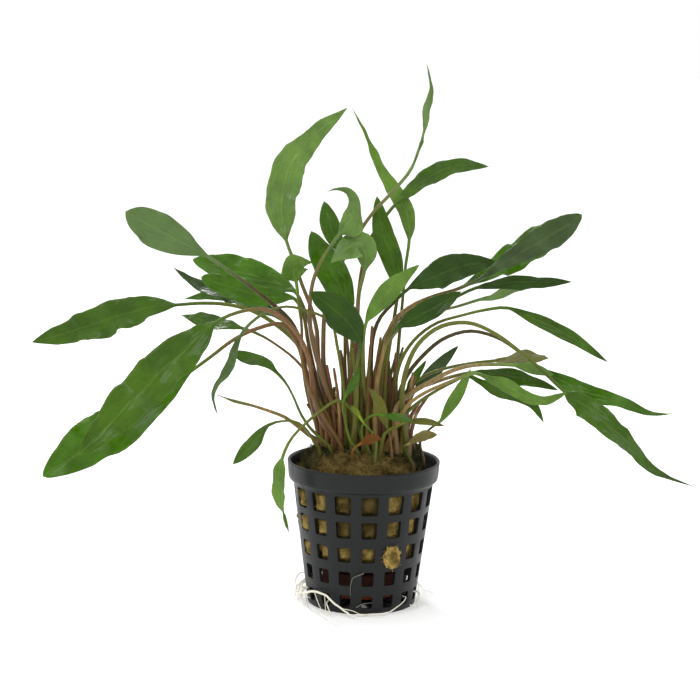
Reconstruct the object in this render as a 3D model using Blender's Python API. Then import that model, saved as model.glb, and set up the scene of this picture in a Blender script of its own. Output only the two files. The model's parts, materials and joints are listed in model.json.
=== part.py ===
"""Cryptocoryne undulata, an aquarium plant, rooted in mineral wool in a black net pot.

The pot stands on its flat underside at z = 0, centred on the origin. The plant's broad side faces -Y,
with the longest arching leaves towards -X and +X. Lengths in the tables are millimetres.
"""

import math
from collections import namedtuple

import bmesh
import bpy
import numpy as np
from mathutils import Matrix, Vector
from mathutils.kdtree import KDTree

MM = 0.001

# Net pot
POT_HEIGHT = 52.5
RIM_RADIUS = 27.5
BAND_HEIGHT = 7.3
WALL_TOP_RADIUS = 25.4
BASE_RADIUS = 19.5
WALL = 1.3
COLUMNS = 16
COLUMN_TURN = 5.5
HOLE_ROWS = ((2.2, 6.9), (10.6, 15.9), (19.5, 24.9), (28.5, 34.6), (37.2, 44.0))
HOLE_ANGLE_LOW = 10.6
HOLE_ANGLE_HIGH = 14.0
FLOOR = 1.5
HUB_RADIUS = 7.0
HUB_HEIGHT = 3.4
SLOT_RADIUS = 16.5
FOOT_CHAMFER = 0.2
BAND_STEP = 0.6
LIP_ROUND = 0.4
LIP_WIDTH = 1.1
LIP_DIP = 0.2

# Mineral wool plug and clay ring
WOOL_BOTTOM = 13.4
WOOL_TOP = 57.0
WOOL_SHOULDER = 15.0
WOOL_DROP = 6.0
WOOL_SEGMENTS = 24
WOOL_FOOT_RADIUS = 13.0
WOOL_LUMP = 0.25
WOOL_BULGE = 0.3
WOOL_GAP_RIGHT = 2.6
WOOL_GAP_FROM = 40
TUFT_SIZE = (3.2, 1.9, 2.1)
TUFT_INSET = 0.9
CLAY_BOTTOM = 3.7
CLAY_TOP = 12.8
CLAY_OUTER = 14.3
CLAY_INNER = 8.5
CLAY_CHAMFER = 0.6

# Leaves
FOOT_PITCH = 3.9
ROW_PITCH = 4.4
FOOT_COLUMN = 4
FOOT_ROW = 2
FOOT_GAP = 1.0
STALK_FOOT = 2.4
STALK_NECK = 1.2
MIDRIB = 1.0
TIP_THICKNESS = 0.35
FOLD = 0.16
RIPPLE_PITCH = 17.0
RIPPLE_LAG = 2.1
FOLD_RISE = 6
SWELL_POWER = 0.9
STALK_STATIONS = 4
STALK_STEP = 15.0
BLADE_STATIONS = 5
BLADE_STEP = 9.0
CUT_STATIONS = 3
ROUTE_POINTS = 200
CLEARANCE = 0.35
EASING_ROUNDS = 45
EASED = 0.06
SAMPLE_ALONG = 1.5
SAMPLE_ACROSS = 2.6
SAMPLE_SKIN = 0.05
TOWARD_EYE = Vector((0.0, -0.975, 0.22)).normalized()

Leaf = namedtuple("Leaf", "name foot width turn hue stalk blade peak ripple")


def leaf(name, foot, width, stalk, blade, turn=(0, 0), hue="mid", peak=0.42, ripple=0.08):
    """A leaf: its place in the crown, and its stalk's and blade's points by hand, as x, y, z."""
    return Leaf("leaf_" + name, foot, width, turn, hue, stalk, blade, peak, ripple)


LEAVES = (
    leaf("far_left", (0, 3), 12.5, turn=(15, 5),
         stalk=[(-17, 5, 72), (-21, 6, 88), (-30, 7, 98), (-42, 8, 105), (-55, 9, 107)],
         blade=[(-69, 10, 106), (-80, 14, 104), (-94, 19, 99), (-109, 25, 93), (-124, 30, 88)]),
    leaf("arch_left_front", (1, 1), 15.5, turn=(10, 0), peak=0.38,
         stalk=[(-17, -7, 72), (-21, -14, 94), (-29, -18, 106), (-37, -22, 110), (-45, -25, 109)],
         blade=[(-52, -28, 106), (-61, -32, 98), (-71, -37, 89), (-82, -43, 78), (-91, -48, 69),
                (-97, -50, 63)]),
    leaf("arch_left_back", (0, 2), 14, turn=(10, 0),
         stalk=[(-19, -1, 74), (-24, -3, 94), (-30, -4, 102), (-37, -5, 101), (-46, -6, 97), (-54, -7, 91)],
         blade=[(-62, -8, 85), (-74, -11, 76), (-88, -15, 65), (-102, -19, 56), (-113, -22, 49)]),
    leaf("broad_upper_left", (1, 2), 13, turn=(185, 180), hue="grey", peak=0.5, ripple=0.04,
         stalk=[(-17, -1, 78), (-26, -2, 101), (-35, -2, 110), (-47, -3, 119)],
         blade=[(-57, -4, 126), (-66, -7, 131), (-75, -9, 136), (-85, -12, 142)]),
    leaf("left_bright", (1, 3), 11.5, hue="bright", turn=(10, 0),
         stalk=[(-14, 7, 76), (-20, 11, 98), (-23, 13, 106)],
         blade=[(-26, 14, 111), (-37, 22, 114), (-51, 30, 117), (-65, 38, 119)]),
    leaf("left_under", (2, 4), 9, hue="dark", turn=(-20, 0),
         stalk=[(-16, 9, 74), (-21, 10, 94), (-23, 10, 104)],
         blade=[(-26, 10, 109), (-37, 15, 109), (-48, 20, 111), (-61, 27, 114)]),
    leaf("left_narrow", (1, 4), 7, turn=(45, 30), hue="dark",
         stalk=[(-19, 12, 75), (-25, 17, 93), (-32, 20, 103)],
         blade=[(-38, 22, 105), (-52, 31, 107), (-64, 39, 110), (-73, 46, 115)]),
    leaf("left_small", (0, 4), 6, turn=(30, 30), hue="bright",
         stalk=[(-21, 15, 73), (-24, 23, 88), (-27, 27, 95)],
         blade=[(-31, 30, 98), (-41, 37, 102), (-55, 44, 105), (-69, 52, 102)]),
    leaf("hanging_left", (2, 1), 5, turn=(30, 80), hue="bright",
         stalk=[(-8, -8, 83), (-13, -12, 105), (-20, -13, 108), (-28, -15, 110), (-35, -17, 108),
                (-40, -19, 105)],
         blade=[(-44, -20, 100), (-48, -22, 88), (-53, -24, 80), (-51, -26, 72)]),
    leaf("wavy_left", (1, 0), 5, turn=(40, 20), hue="dark", ripple=0.16,
         stalk=[(-18, -9, 64), (-22, -9, 69), (-26, -10, 78), (-29, -10, 83)],
         blade=[(-31, -10, 85), (-37, -8, 89), (-42, -7, 90), (-48, -6, 92)]),
    leaf("left_hidden", (3, 3), 7, turn=(40, 40),
         stalk=[(-18, 4, 73), (-21, 4, 83), (-28, 4, 90), (-37, 4, 96)],
         blade=[(-45, 4, 99), (-55, 7, 100), (-67, 12, 102)]),
    leaf("low_left", (0, 0), 5, turn=(20, 0),
         stalk=[(-22, -12, 67), (-28, -15, 69)],
         blade=[(-34, -18, 68), (-38, -20, 63), (-42, -22, 59), (-46, -24, 55)]),
    leaf("over_rim", (4, 0), 5, turn=(0, 120), hue="grey",
         stalk=[(-4, -10, 71), (-6, -11, 75), (-10, -12, 76), (-19, -15, 70), (-26, -18, 63)],
         blade=[(-29, -19, 56), (-30, -19, 48), (-29, -19, 40), (-26, -19, 29)]),
    leaf("tall_left", (2, 2), 11.5, turn=(0, 20), hue="pale", peak=0.34, ripple=0.1,
         stalk=[(-16, 0, 81), (-18, 1, 101), (-23, 1, 115), (-27, 2, 126)],
         blade=[(-29, 2, 131), (-31, 5, 144), (-28, 8, 158), (-20, 11, 168), (-8, 14, 178)]),
    leaf("small_folded", (2, 0), 9, turn=(0, 60), hue="dark",
         stalk=[(-21, -9, 83), (-23, -10, 104), (-25, -10, 115)],
         blade=[(-25, -10, 118), (-26, -12, 123), (-24, -15, 126), (-19, -18, 126)]),
    leaf("fold_over", (3, 1), 7, turn=(0, 60), hue="pale",
         stalk=[(-12, -6, 75), (-19, -9, 97), (-20, -11, 112), (-18, -13, 122), (-13, -15, 132)],
         blade=[(-10, -16, 136), (-6, -17, 143), (-6, -18, 149), (-10, -20, 152), (-15, -22, 151)]),
    leaf("fold_front", (4, 2), 8, turn=(0, 40), hue="pale",
         stalk=[(-3, -2, 82), (-3, -6, 110), (-2, -7, 117)],
         blade=[(-1, -8, 122), (-1, -11, 129), (-4, -15, 133), (-9, -18, 130), (-13, -20, 126)]),
    leaf("centre_bright", (4, 1), 10, hue="bright",
         stalk=[(-5, -5, 75), (-5, -6, 97)],
         blade=[(-6, -6, 105), (-10, -7, 117), (-16, -8, 127), (-20, -9, 136)]),
    leaf("centre_front", (3, 0), 11, hue="grey", turn=(10, 10),
         stalk=[(-3, -13, 77), (-3, -17, 90)],
         blade=[(-2, -20, 98), (-6, -22, 105), (-12, -24, 111), (-20, -27, 117)]),
    leaf("centre_slim", (3, 4), 7,
         stalk=[(-7, 9, 80), (-8, 10, 109), (-9, 10, 122)],
         blade=[(-10, 10, 126), (-13, 12, 134), (-16, 16, 144)]),
    leaf("centre_dark", (5, 3), 8, hue="dark",
         stalk=[(7, 4, 81), (10, 4, 103)],
         blade=[(11, 4, 113), (9, 5, 124), (5, 7, 135), (3, 8, 147)]),
    leaf("topmost", (3, 2), 3.6, turn=(0, 300), hue="pale", peak=0.5,
         stalk=[(-14, 0, 81), (-15, 0, 103), (-13, 0, 114), (-6, 0, 130), (4, 0, 145), (11, 0, 152)],
         blade=[(15, 0, 158), (19, 6, 169), (20, 11, 178), (22, 15, 185), (20, 20, 194)]),
    leaf("top_right", (4, 3), 7.5, turn=(-20, 10), hue="bright",
         stalk=[(-3, 6, 80), (-3, 8, 109), (0, 10, 129), (6, 11, 139)],
         blade=[(10, 12, 144), (21, 24, 152), (32, 34, 156), (45, 45, 155)]),
    leaf("touching_tip", (6, 3), 6, turn=(0, 60), peak=0.35,
         stalk=[(11, 6, 81), (13, 9, 109), (14, 11, 123)],
         blade=[(15, 12, 131), (14, 15, 140), (10, 17, 147), (4, 20, 156), (-1, 24, 167), (-7, 28, 178)]),
    leaf("centre_yellow", (5, 1), 7, turn=(0, 20), hue="bright",
         stalk=[(0, -8, 79), (-1, -12, 98)],
         blade=[(0, -14, 105), (5, -15, 113), (11, -17, 120), (18, -18, 126)]),
    leaf("dark_right", (5, 2), 10.5, hue="dark", turn=(0, -10), peak=0.45,
         stalk=[(2, 0, 82), (3, 0, 100), (9, 0, 109)],
         blade=[(15, 0, 115), (24, 8, 118), (34, 16, 121), (47, 25, 122)]),
    leaf("long_right", (6, 2), 12.5, hue="grey", turn=(-20, 0), peak=0.5, ripple=0.06,
         stalk=[(6, 3, 81), (9, 6, 101), (19, 9, 109), (32, 12, 113)],
         blade=[(41, 14, 117), (54, 24, 124), (68, 34, 131), (80, 42, 138)]),
    leaf("long_right_back", (6, 4), 12, hue="bright", turn=(-20, -10), peak=0.5,
         stalk=[(5, 12, 79), (8, 16, 97), (18, 19, 105), (29, 22, 110)],
         blade=[(36, 24, 113), (50, 36, 119), (63, 46, 126), (74, 56, 135)]),
    leaf("level_right", (7, 2), 7, turn=(30, 20),
         stalk=[(8, 1, 81), (10, 2, 100), (23, 3, 108), (33, 4, 112)],
         blade=[(39, 4, 115), (51, 6, 117), (62, 8, 117), (74, 10, 117)]),
    leaf("level_right_under", (7, 4), 5, turn=(40, 30), hue="pale",
         stalk=[(7, 12, 79), (10, 15, 96), (22, 18, 103), (35, 21, 106)],
         blade=[(41, 22, 108), (48, 28, 109), (55, 34, 111), (65, 42, 112)]),
    leaf("short_dark_right", (5, 0), 7.5, hue="dark",
         stalk=[(4, -11, 80), (7, -13, 97)],
         blade=[(11, -14, 103), (20, -13, 108), (27, -12, 112), (33, -12, 116)]),
    leaf("far_right", (7, 1), 5.5, turn=(20, 10),
         stalk=[(11, -6, 83), (16, -7, 96), (25, -8, 104), (38, -9, 108), (45, -10, 110)],
         blade=[(50, -10, 110), (59, -14, 107), (71, -20, 102), (84, -26, 94)]),
    leaf("arch_right_front", (8, 0), 8, turn=(10, 0), peak=0.33, ripple=0.14,
         stalk=[(13, -12, 80), (17, -14, 95), (24, -16, 103), (35, -19, 106), (46, -22, 102),
                (61, -27, 91)],
         blade=[(69, -30, 84), (79, -38, 78), (89, -46, 70), (98, -54, 62), (112, -62, 58)]),
    leaf("arch_right", (8, 1), 6.5, turn=(10, -20), ripple=0.12,
         stalk=[(12, -6, 77), (21, -8, 93), (33, -9, 101), (45, -11, 100), (54, -13, 95)],
         blade=[(62, -14, 89), (75, -20, 83), (89, -26, 80), (99, -30, 77), (107, -34, 78)]),
    leaf("low_arch", (7, 0), 4, hue="pale",
         stalk=[(11, -10, 73), (21, -12, 82), (33, -14, 89), (45, -17, 91)],
         blade=[(52, -18, 91), (59, -19, 90), (66, -20, 88)]),
    leaf("low_dark", (8, 3), 7, turn=(50, 50), hue="dark",
         stalk=[(13, 5, 73), (23, 6, 83), (38, 7, 87)],
         blade=[(47, 8, 88), (57, 17, 88), (68, 26, 86)]),
    leaf("low_mid", (8, 2), 6.5, turn=(35, 20),
         stalk=[(14, -2, 75), (25, -4, 82), (34, -5, 85)],
         blade=[(38, -6, 86), (48, -9, 86), (58, -13, 85), (68, -16, 82)]),
    leaf("low_wavy", (6, 0), 5, turn=(40, 20), hue="bright", ripple=0.16,
         stalk=[(13, -12, 72), (19, -15, 79), (33, -22, 87)],
         blade=[(38, -24, 89), (48, -29, 86), (60, -36, 82), (69, -40, 86)]),
    leaf("low_under", (6, 1), 5, turn=(40, 20), hue="dark",
         stalk=[(13, -6, 69), (21, -9, 77), (32, -12, 84)],
         blade=[(36, -14, 86), (45, -19, 83), (57, -26, 80), (62, -30, 73)]),
    leaf("slant_right", (9, 1), 4.2,
         stalk=[(20, -5, 61), (25, -8, 67)],
         blade=[(27, -10, 69), (31, -11, 76), (34, -13, 82), (37, -14, 89)]),
    leaf("slim_right", (9, 2), 3, hue="bright",
         stalk=[(14, 0, 69)],
         blade=[(15, 0, 75), (17, 1, 81), (22, 2, 89)]),
    leaf("grey_right", (8, 4), 5, hue="grey",
         stalk=[(15, 8, 67)],
         blade=[(18, 8, 76), (24, 11, 82), (28, 14, 86), (34, 16, 92)]),
    leaf("olive_front", (5, -1), 4, hue="olive",
         stalk=[(7, -15, 65), (11, -17, 68)],
         blade=[(14, -18, 70), (21, -21, 71), (28, -24, 70)]),
    leaf("tiny_front", (4, -1), 3, hue="bright",
         stalk=[(-1, -15, 64), (0, -18, 70), (4, -20, 73)],
         blade=[(7, -22, 73), (12, -25, 73), (17, -27, 72)]),
    leaf("thin_front", (3, -1), 3, hue="bright",
         stalk=[(-5, -14, 62), (-7, -15, 70), (-8, -17, 76)],
         blade=[(-7, -18, 79), (-4, -19, 84), (-2, -20, 90)]),
    leaf("curled_front", (6, -1), 4, hue="olive",
         stalk=[(9, -13, 64)],
         blade=[(8, -13, 67), (6, -15, 73), (4, -16, 78), (1, -17, 82)]),
    leaf("slim_centre", (7, 3), 3, hue="bright",
         stalk=[(10, 3, 65)],
         blade=[(10, 2, 70), (10, 2, 76), (9, 2, 84)]),
    leaf("sprout", (5, -2), 2.2, hue="bright",
         stalk=[(4, -18, 64), (0, -18, 69)],
         blade=[(-2, -18, 72), (-5, -20, 76)]),
    leaf("dead", (3, -2), 3.5, hue="dead",
         stalk=[(-4, -20, 60)],
         blade=[(-1, -22, 63), (3, -23, 65), (6, -24, 65)]),
    leaf("pale_old", (8, -1), 5.5, hue="pale_old", ripple=0.16,
         stalk=[(14, -11, 60)],
         blade=[(16, -10, 61), (20, -9, 63), (26, -10, 64)]),
)

# A leaf stalk whose blade was cut away
CUT_STALK = leaf("cut_stalk", (0, 1), 0, hue="olive",
                 stalk=[(-21, -6, 63), (-28, -9, 69), (-40, -13, 74)],
                 blade=[(-46, -16, 76), (-52, -20, 79)])._replace(name="cut_stalk")

HUES = {
    "mid": (0.055, 0.155, 0.020),
    "bright": (0.105, 0.260, 0.020),
    "dark": (0.030, 0.090, 0.016),
    "grey": (0.100, 0.190, 0.075),
    "pale": (0.130, 0.270, 0.065),
    "olive": (0.130, 0.150, 0.030),
    "pale_old": (0.330, 0.310, 0.120),
    "dead": (0.190, 0.080, 0.025),
}
POT_COLOUR = (0.012, 0.013, 0.014)
WOOL_COLOUR = (0.270, 0.180, 0.055)
CLAY_COLOUR = (0.210, 0.045, 0.015)
ROOT_COLOUR = (0.780, 0.740, 0.620)

# Roots: radius, then points from inside the pot out to the free end
ROOTS = {
    "root_main": (0.55, [(-17.6, -1.7, 5.0), (-20.9, -2.2, 4.4), (-21.9, -5.2, 3.4), (-20.4, -9.6, 4.9),
                         (-16.8, -14.4, 6.9), (-13.5, -17.6, 6.7), (-10.4, -19.7, 4.8),
                         (-7.5, -21.3, 2.9), (-4.6, -23.2, 1.4), (-2.7, -25.8, 0.9)]),
    "root_branch": (0.4, [(-11.4, -13.8, 3.8), (-12.3, -17.4, 3.6), (-11.6, -19.4, 1.8),
                          (-10.6, -21.2, 0.8)]),
    "root_front": (0.4, [(-2.0, -22.8, 0.8), (3.0, -21.7, 0.8), (9.2, -19.9, 0.9), (12.2, -18.4, 2.4),
                         (15.2, -16.0, 4.2), (15.9, -13.4, 4.8), (14.2, -11.6, 5.0)]),
    "root_loop": (0.4, [(17.4, -5.3, 5.0), (20.6, -6.4, 4.8), (20.6, -9.0, 2.4), (18.9, -12.2, 1.5),
                        (17.5, -14.2, 2.4)]),
    "root_inner": (0.5, [(-10.6, -12.6, 14.2), (-11.1, -12.5, 10.5), (-10.2, -13.3, 5.0)]),
}
ROOT_SIDES = 6
ROOT_STATIONS = 12


def material(name, colour, roughness=0.5):
    """A plain Principled surface in the piece's own colour."""
    mat = bpy.data.materials.new(name)
    mat.use_nodes = True
    shader = mat.node_tree.nodes["Principled BSDF"]
    shader.inputs["Base Color"].default_value = (*colour, 1.0)
    shader.inputs["Roughness"].default_value = roughness
    shader.inputs["Metallic"].default_value = 0.0
    return mat


def add_object(name, bm, colour, roughness=0.5, sharp_degrees=40):
    """Finish a bmesh in millimetres as a named object in metres."""
    bmesh.ops.recalc_face_normals(bm, faces=bm.faces)
    bmesh.ops.scale(bm, vec=(MM, MM, MM), verts=bm.verts)
    mesh = bpy.data.meshes.new(name)
    bm.to_mesh(mesh)
    bm.free()
    mesh.shade_smooth()
    mesh.set_sharp_from_angle(angle=math.radians(sharp_degrees))
    mesh.materials.append(material(name, colour, roughness))
    obj = bpy.data.objects.new(name, mesh)
    bpy.context.collection.objects.link(obj)
    return obj


def spline(points, count):
    """Points at equal steps along a smooth curve through hand-chosen points."""
    knots = [Vector(p) for p in points]
    knots = [2 * knots[0] - knots[1], *knots, 2 * knots[-1] - knots[-2]]
    dense = []
    for before, start, end, after in zip(knots, knots[1:], knots[2:], knots[3:]):
        for step in range(16):
            t = step / 16
            dense.append(0.5 * (2 * start + (end - before) * t
                                + (2 * before - 5 * start + 4 * end - after) * t ** 2
                                + (3 * start - before - 3 * end + after) * t ** 3))
    dense.append(knots[-2])
    lengths = np.cumsum([0.0] + [(b - a).length for a, b in zip(dense, dense[1:])])
    places = np.linspace(0.0, lengths[-1], count)
    return np.array([[np.interp(s, lengths, [p[k] for p in dense]) for k in range(3)] for s in places])


# The net pot

def wall_radius(z):
    """The pot wall's outer radius at a height."""
    return BASE_RADIUS + (WALL_TOP_RADIUS - BASE_RADIUS) * z / (POT_HEIGHT - BAND_HEIGHT)


def column_angles(z):
    """Angles of both sides of every hole column, and so of every upright rib, at a height."""
    top = HOLE_ROWS[-1][1]
    half = 0.5 * math.radians(HOLE_ANGLE_LOW + (HOLE_ANGLE_HIGH - HOLE_ANGLE_LOW) * min(z, top) / top)
    middles = [math.radians(-90 + COLUMN_TURN + 360 * k / COLUMNS) for k in range(COLUMNS)]
    return [middle + side * half for middle in middles for side in (-1, 1)]


def pot_profile():
    """The pot's section from under the hub, out, up, over the rim and down inside to the hub's top."""
    band = POT_HEIGHT - BAND_HEIGHT
    levels = [z for row in HOLE_ROWS for z in row]
    outside = [(wall_radius(z), z) for z in levels]
    inside = [(wall_radius(z) - WALL, z) for z in reversed(levels)]
    underside = [(HUB_RADIUS, 0.0), (SLOT_RADIUS, 0.0), (BASE_RADIUS - FOOT_CHAMFER, 0.0)]
    rim = [(WALL_TOP_RADIUS, band), (RIM_RADIUS - BAND_STEP, band), (RIM_RADIUS, POT_HEIGHT - BAND_STEP),
           (RIM_RADIUS - LIP_ROUND, POT_HEIGHT), (RIM_RADIUS - LIP_WIDTH, POT_HEIGHT - LIP_DIP),
           (WALL_TOP_RADIUS - WALL, band)]
    floor = [(wall_radius(FLOOR) - WALL, FLOOR), (SLOT_RADIUS, FLOOR), (HUB_RADIUS, HUB_HEIGHT)]
    return underside + outside + rim + inside + floor


def make_pot():
    """The net pot: a tapered wall with rows of square holes, a rolled band rim and a slotted floor."""
    profile = pot_profile()
    bm = bmesh.new()
    rings = []
    for radius, z in profile:
        places = [(radius * math.cos(a), radius * math.sin(a), z) for a in column_angles(z)]
        rings.append([bm.verts.new(place) for place in places])
    last = len(rings) - 1
    first_row = 3
    openings = {(0, last - 1)}
    openings |= {(first_row + 2 * k, last - 4 - 2 * k) for k in range(len(HOLE_ROWS))}
    open_rings = {ring for pair in openings for ring in pair}
    count = 2 * COLUMNS
    for ring, (low, high) in enumerate(zip(rings, rings[1:])):
        for j in range(count):
            if ring in open_rings and j % 2 == 0:
                continue
            nxt = (j + 1) % count
            bm.faces.new((low[j], low[nxt], high[nxt], high[j]))
    for outer, inner in openings:
        for j in range(0, count, 2):
            front = [rings[outer][j], rings[outer][j + 1], rings[outer + 1][j + 1], rings[outer + 1][j]]
            back = [rings[inner + 1][j], rings[inner + 1][j + 1], rings[inner][j + 1], rings[inner][j]]
            for k in range(4):
                bm.faces.new((front[k], front[k - 1], back[k - 1], back[k]))
    for ring, z in ((rings[0], 0.0), (rings[-1], HUB_HEIGHT)):
        centre = bm.verts.new((0.0, 0.0, z))
        for j in range(count):
            bm.faces.new((ring[j], ring[(j + 1) % count], centre))
    add_object("net_pot", bm, POT_COLOUR, roughness=0.45, sharp_degrees=30)


# What fills the pot

def wool_top(x, y):
    """Height of the wool's top: level in the middle and falling away to the pot's rim."""
    t = min(max((math.hypot(x, y) - WOOL_SHOULDER) / (WALL_TOP_RADIUS - WOOL_SHOULDER), 0.0), 1.0)
    lumps = WOOL_LUMP * math.sin(0.55 * x + 1.0) * math.cos(0.5 * y)
    return WOOL_TOP - WOOL_DROP * t * t * (3 - 2 * t) + lumps


def turned(bm, rings, segments):
    """Walls between a stack of rings, each given as a function of the angle. Returns the loops."""
    loops = []
    for ring in rings:
        angles = [2 * math.pi * k / segments for k in range(segments)]
        loops.append([bm.verts.new(ring(a)) for a in angles])
    for low, high in zip(loops, loops[1:]):
        for j in range(segments):
            nxt = (j + 1) % segments
            bm.faces.new((low[j], low[nxt], high[nxt], high[j]))
    return loops


def make_wool():
    """The wool plug: fills the pot, lumpy, short of the wall at +X, with a tuft through one hole."""
    def side(inset, z):
        def ring(a):
            slack = inset + WOOL_BULGE * math.sin(5 * a + z) ** 2
            if z > WOOL_GAP_FROM:
                slack += WOOL_GAP_RIGHT * max(math.cos(a), 0.0) ** 2
            radius = wall_radius(z) - WALL - slack
            return (radius * math.cos(a), radius * math.sin(a), z)
        return ring

    def top(radius):
        def ring(a):
            x = radius * math.cos(a) - 0.06 * radius * max(math.cos(a), 0.0)
            y = radius * math.sin(a)
            return (x, y, wool_top(x, y))
        return ring

    bm = bmesh.new()
    foot = WOOL_FOOT_RADIUS
    rings = [lambda a: (foot * math.cos(a), foot * math.sin(a), WOOL_BOTTOM),
             side(1.6, 17.0), side(0.5, 25.0), side(0.5, 35.0), side(0.5, 44.0), side(1.2, 49.0),
             top(21.5), top(18.5), top(14.0), top(8.0)]
    loops = turned(bm, rings, WOOL_SEGMENTS)
    for loop, z in ((loops[0], WOOL_BOTTOM), (loops[-1], wool_top(0.0, 0.0))):
        centre = bm.verts.new((0.0, 0.0, z))
        for j in range(WOOL_SEGMENTS):
            bm.faces.new((loop[j], loop[(j + 1) % WOOL_SEGMENTS], centre))
    wool = add_object("rockwool_plug", bm, WOOL_COLOUR, roughness=0.95)
    add_tuft(wool)


def add_tuft(wool):
    """Join a small tuft to the wool, reaching out through the third hole up, right of the middle."""
    angle = math.radians(-90 + COLUMN_TURN + 360 / COLUMNS)
    height = 0.5 * sum(HOLE_ROWS[2])
    radius = wall_radius(height) - TUFT_INSET
    bm = bmesh.new()
    bmesh.ops.create_icosphere(bm, subdivisions=1, radius=1.0)
    bmesh.ops.scale(bm, vec=TUFT_SIZE, verts=bm.verts)
    bmesh.ops.rotate(bm, cent=(0, 0, 0), matrix=Matrix.Rotation(angle, 3, "Z"), verts=bm.verts)
    place = (radius * math.cos(angle), radius * math.sin(angle), height)
    bmesh.ops.translate(bm, vec=place, verts=bm.verts)
    tuft = add_object("wool_tuft", bm, WOOL_COLOUR, roughness=0.95)
    tuft.hide_render = True
    tuft.display_type = "WIRE"
    join = wool.modifiers.new("tuft", "BOOLEAN")
    join.operation = "UNION"
    join.object = tuft


def make_clay_ring():
    """The fired clay ring that weighs the pot down, standing on the floor's ribs under the wool."""
    corner = CLAY_OUTER - CLAY_CHAMFER
    section = [(CLAY_INNER, CLAY_BOTTOM), (corner, CLAY_BOTTOM), (CLAY_OUTER, CLAY_BOTTOM + CLAY_CHAMFER),
               (CLAY_OUTER, CLAY_TOP - CLAY_CHAMFER), (corner, CLAY_TOP), (CLAY_INNER, CLAY_TOP)]
    bm = bmesh.new()
    rings = [lambda a, r=r, z=z: (r * math.cos(a), r * math.sin(a), z) for r, z in section]
    loops = turned(bm, rings, WOOL_SEGMENTS)
    for j in range(WOOL_SEGMENTS):
        nxt = (j + 1) % WOOL_SEGMENTS
        bm.faces.new((loops[-1][j], loops[-1][nxt], loops[0][nxt], loops[0][j]))
    add_object("clay_ring", bm, CLAY_COLOUR, roughness=0.85, sharp_degrees=35)


def make_root(name, radius, points):
    """One root: a round tube through its points that thins towards the free end."""
    route = [Vector(p) for p in spline(points, ROOT_STATIONS)]
    bm = bmesh.new()
    rings = []
    across = Vector((0.0, 0.0, 1.0))
    for k, centre in enumerate(route):
        along = (route[min(k + 1, len(route) - 1)] - route[max(k - 1, 0)]).normalized()
        across = (across - along * across.dot(along)).normalized()
        other = along.cross(across)
        size = radius * (1.0 - 0.35 * k / (len(route) - 1))
        ring = []
        for side in range(ROOT_SIDES):
            turn = 2 * math.pi * side / ROOT_SIDES
            ring.append(bm.verts.new(centre + size * (math.cos(turn) * across + math.sin(turn) * other)))
        rings.append(ring)
    for low, high in zip(rings, rings[1:]):
        for j in range(ROOT_SIDES):
            nxt = (j + 1) % ROOT_SIDES
            bm.faces.new((low[j], low[nxt], high[nxt], high[j]))
    bm.faces.new(rings[0])
    bm.faces.new(rings[-1])
    add_object(name, bm, ROOT_COLOUR, roughness=0.5)


# Leaves

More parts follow.
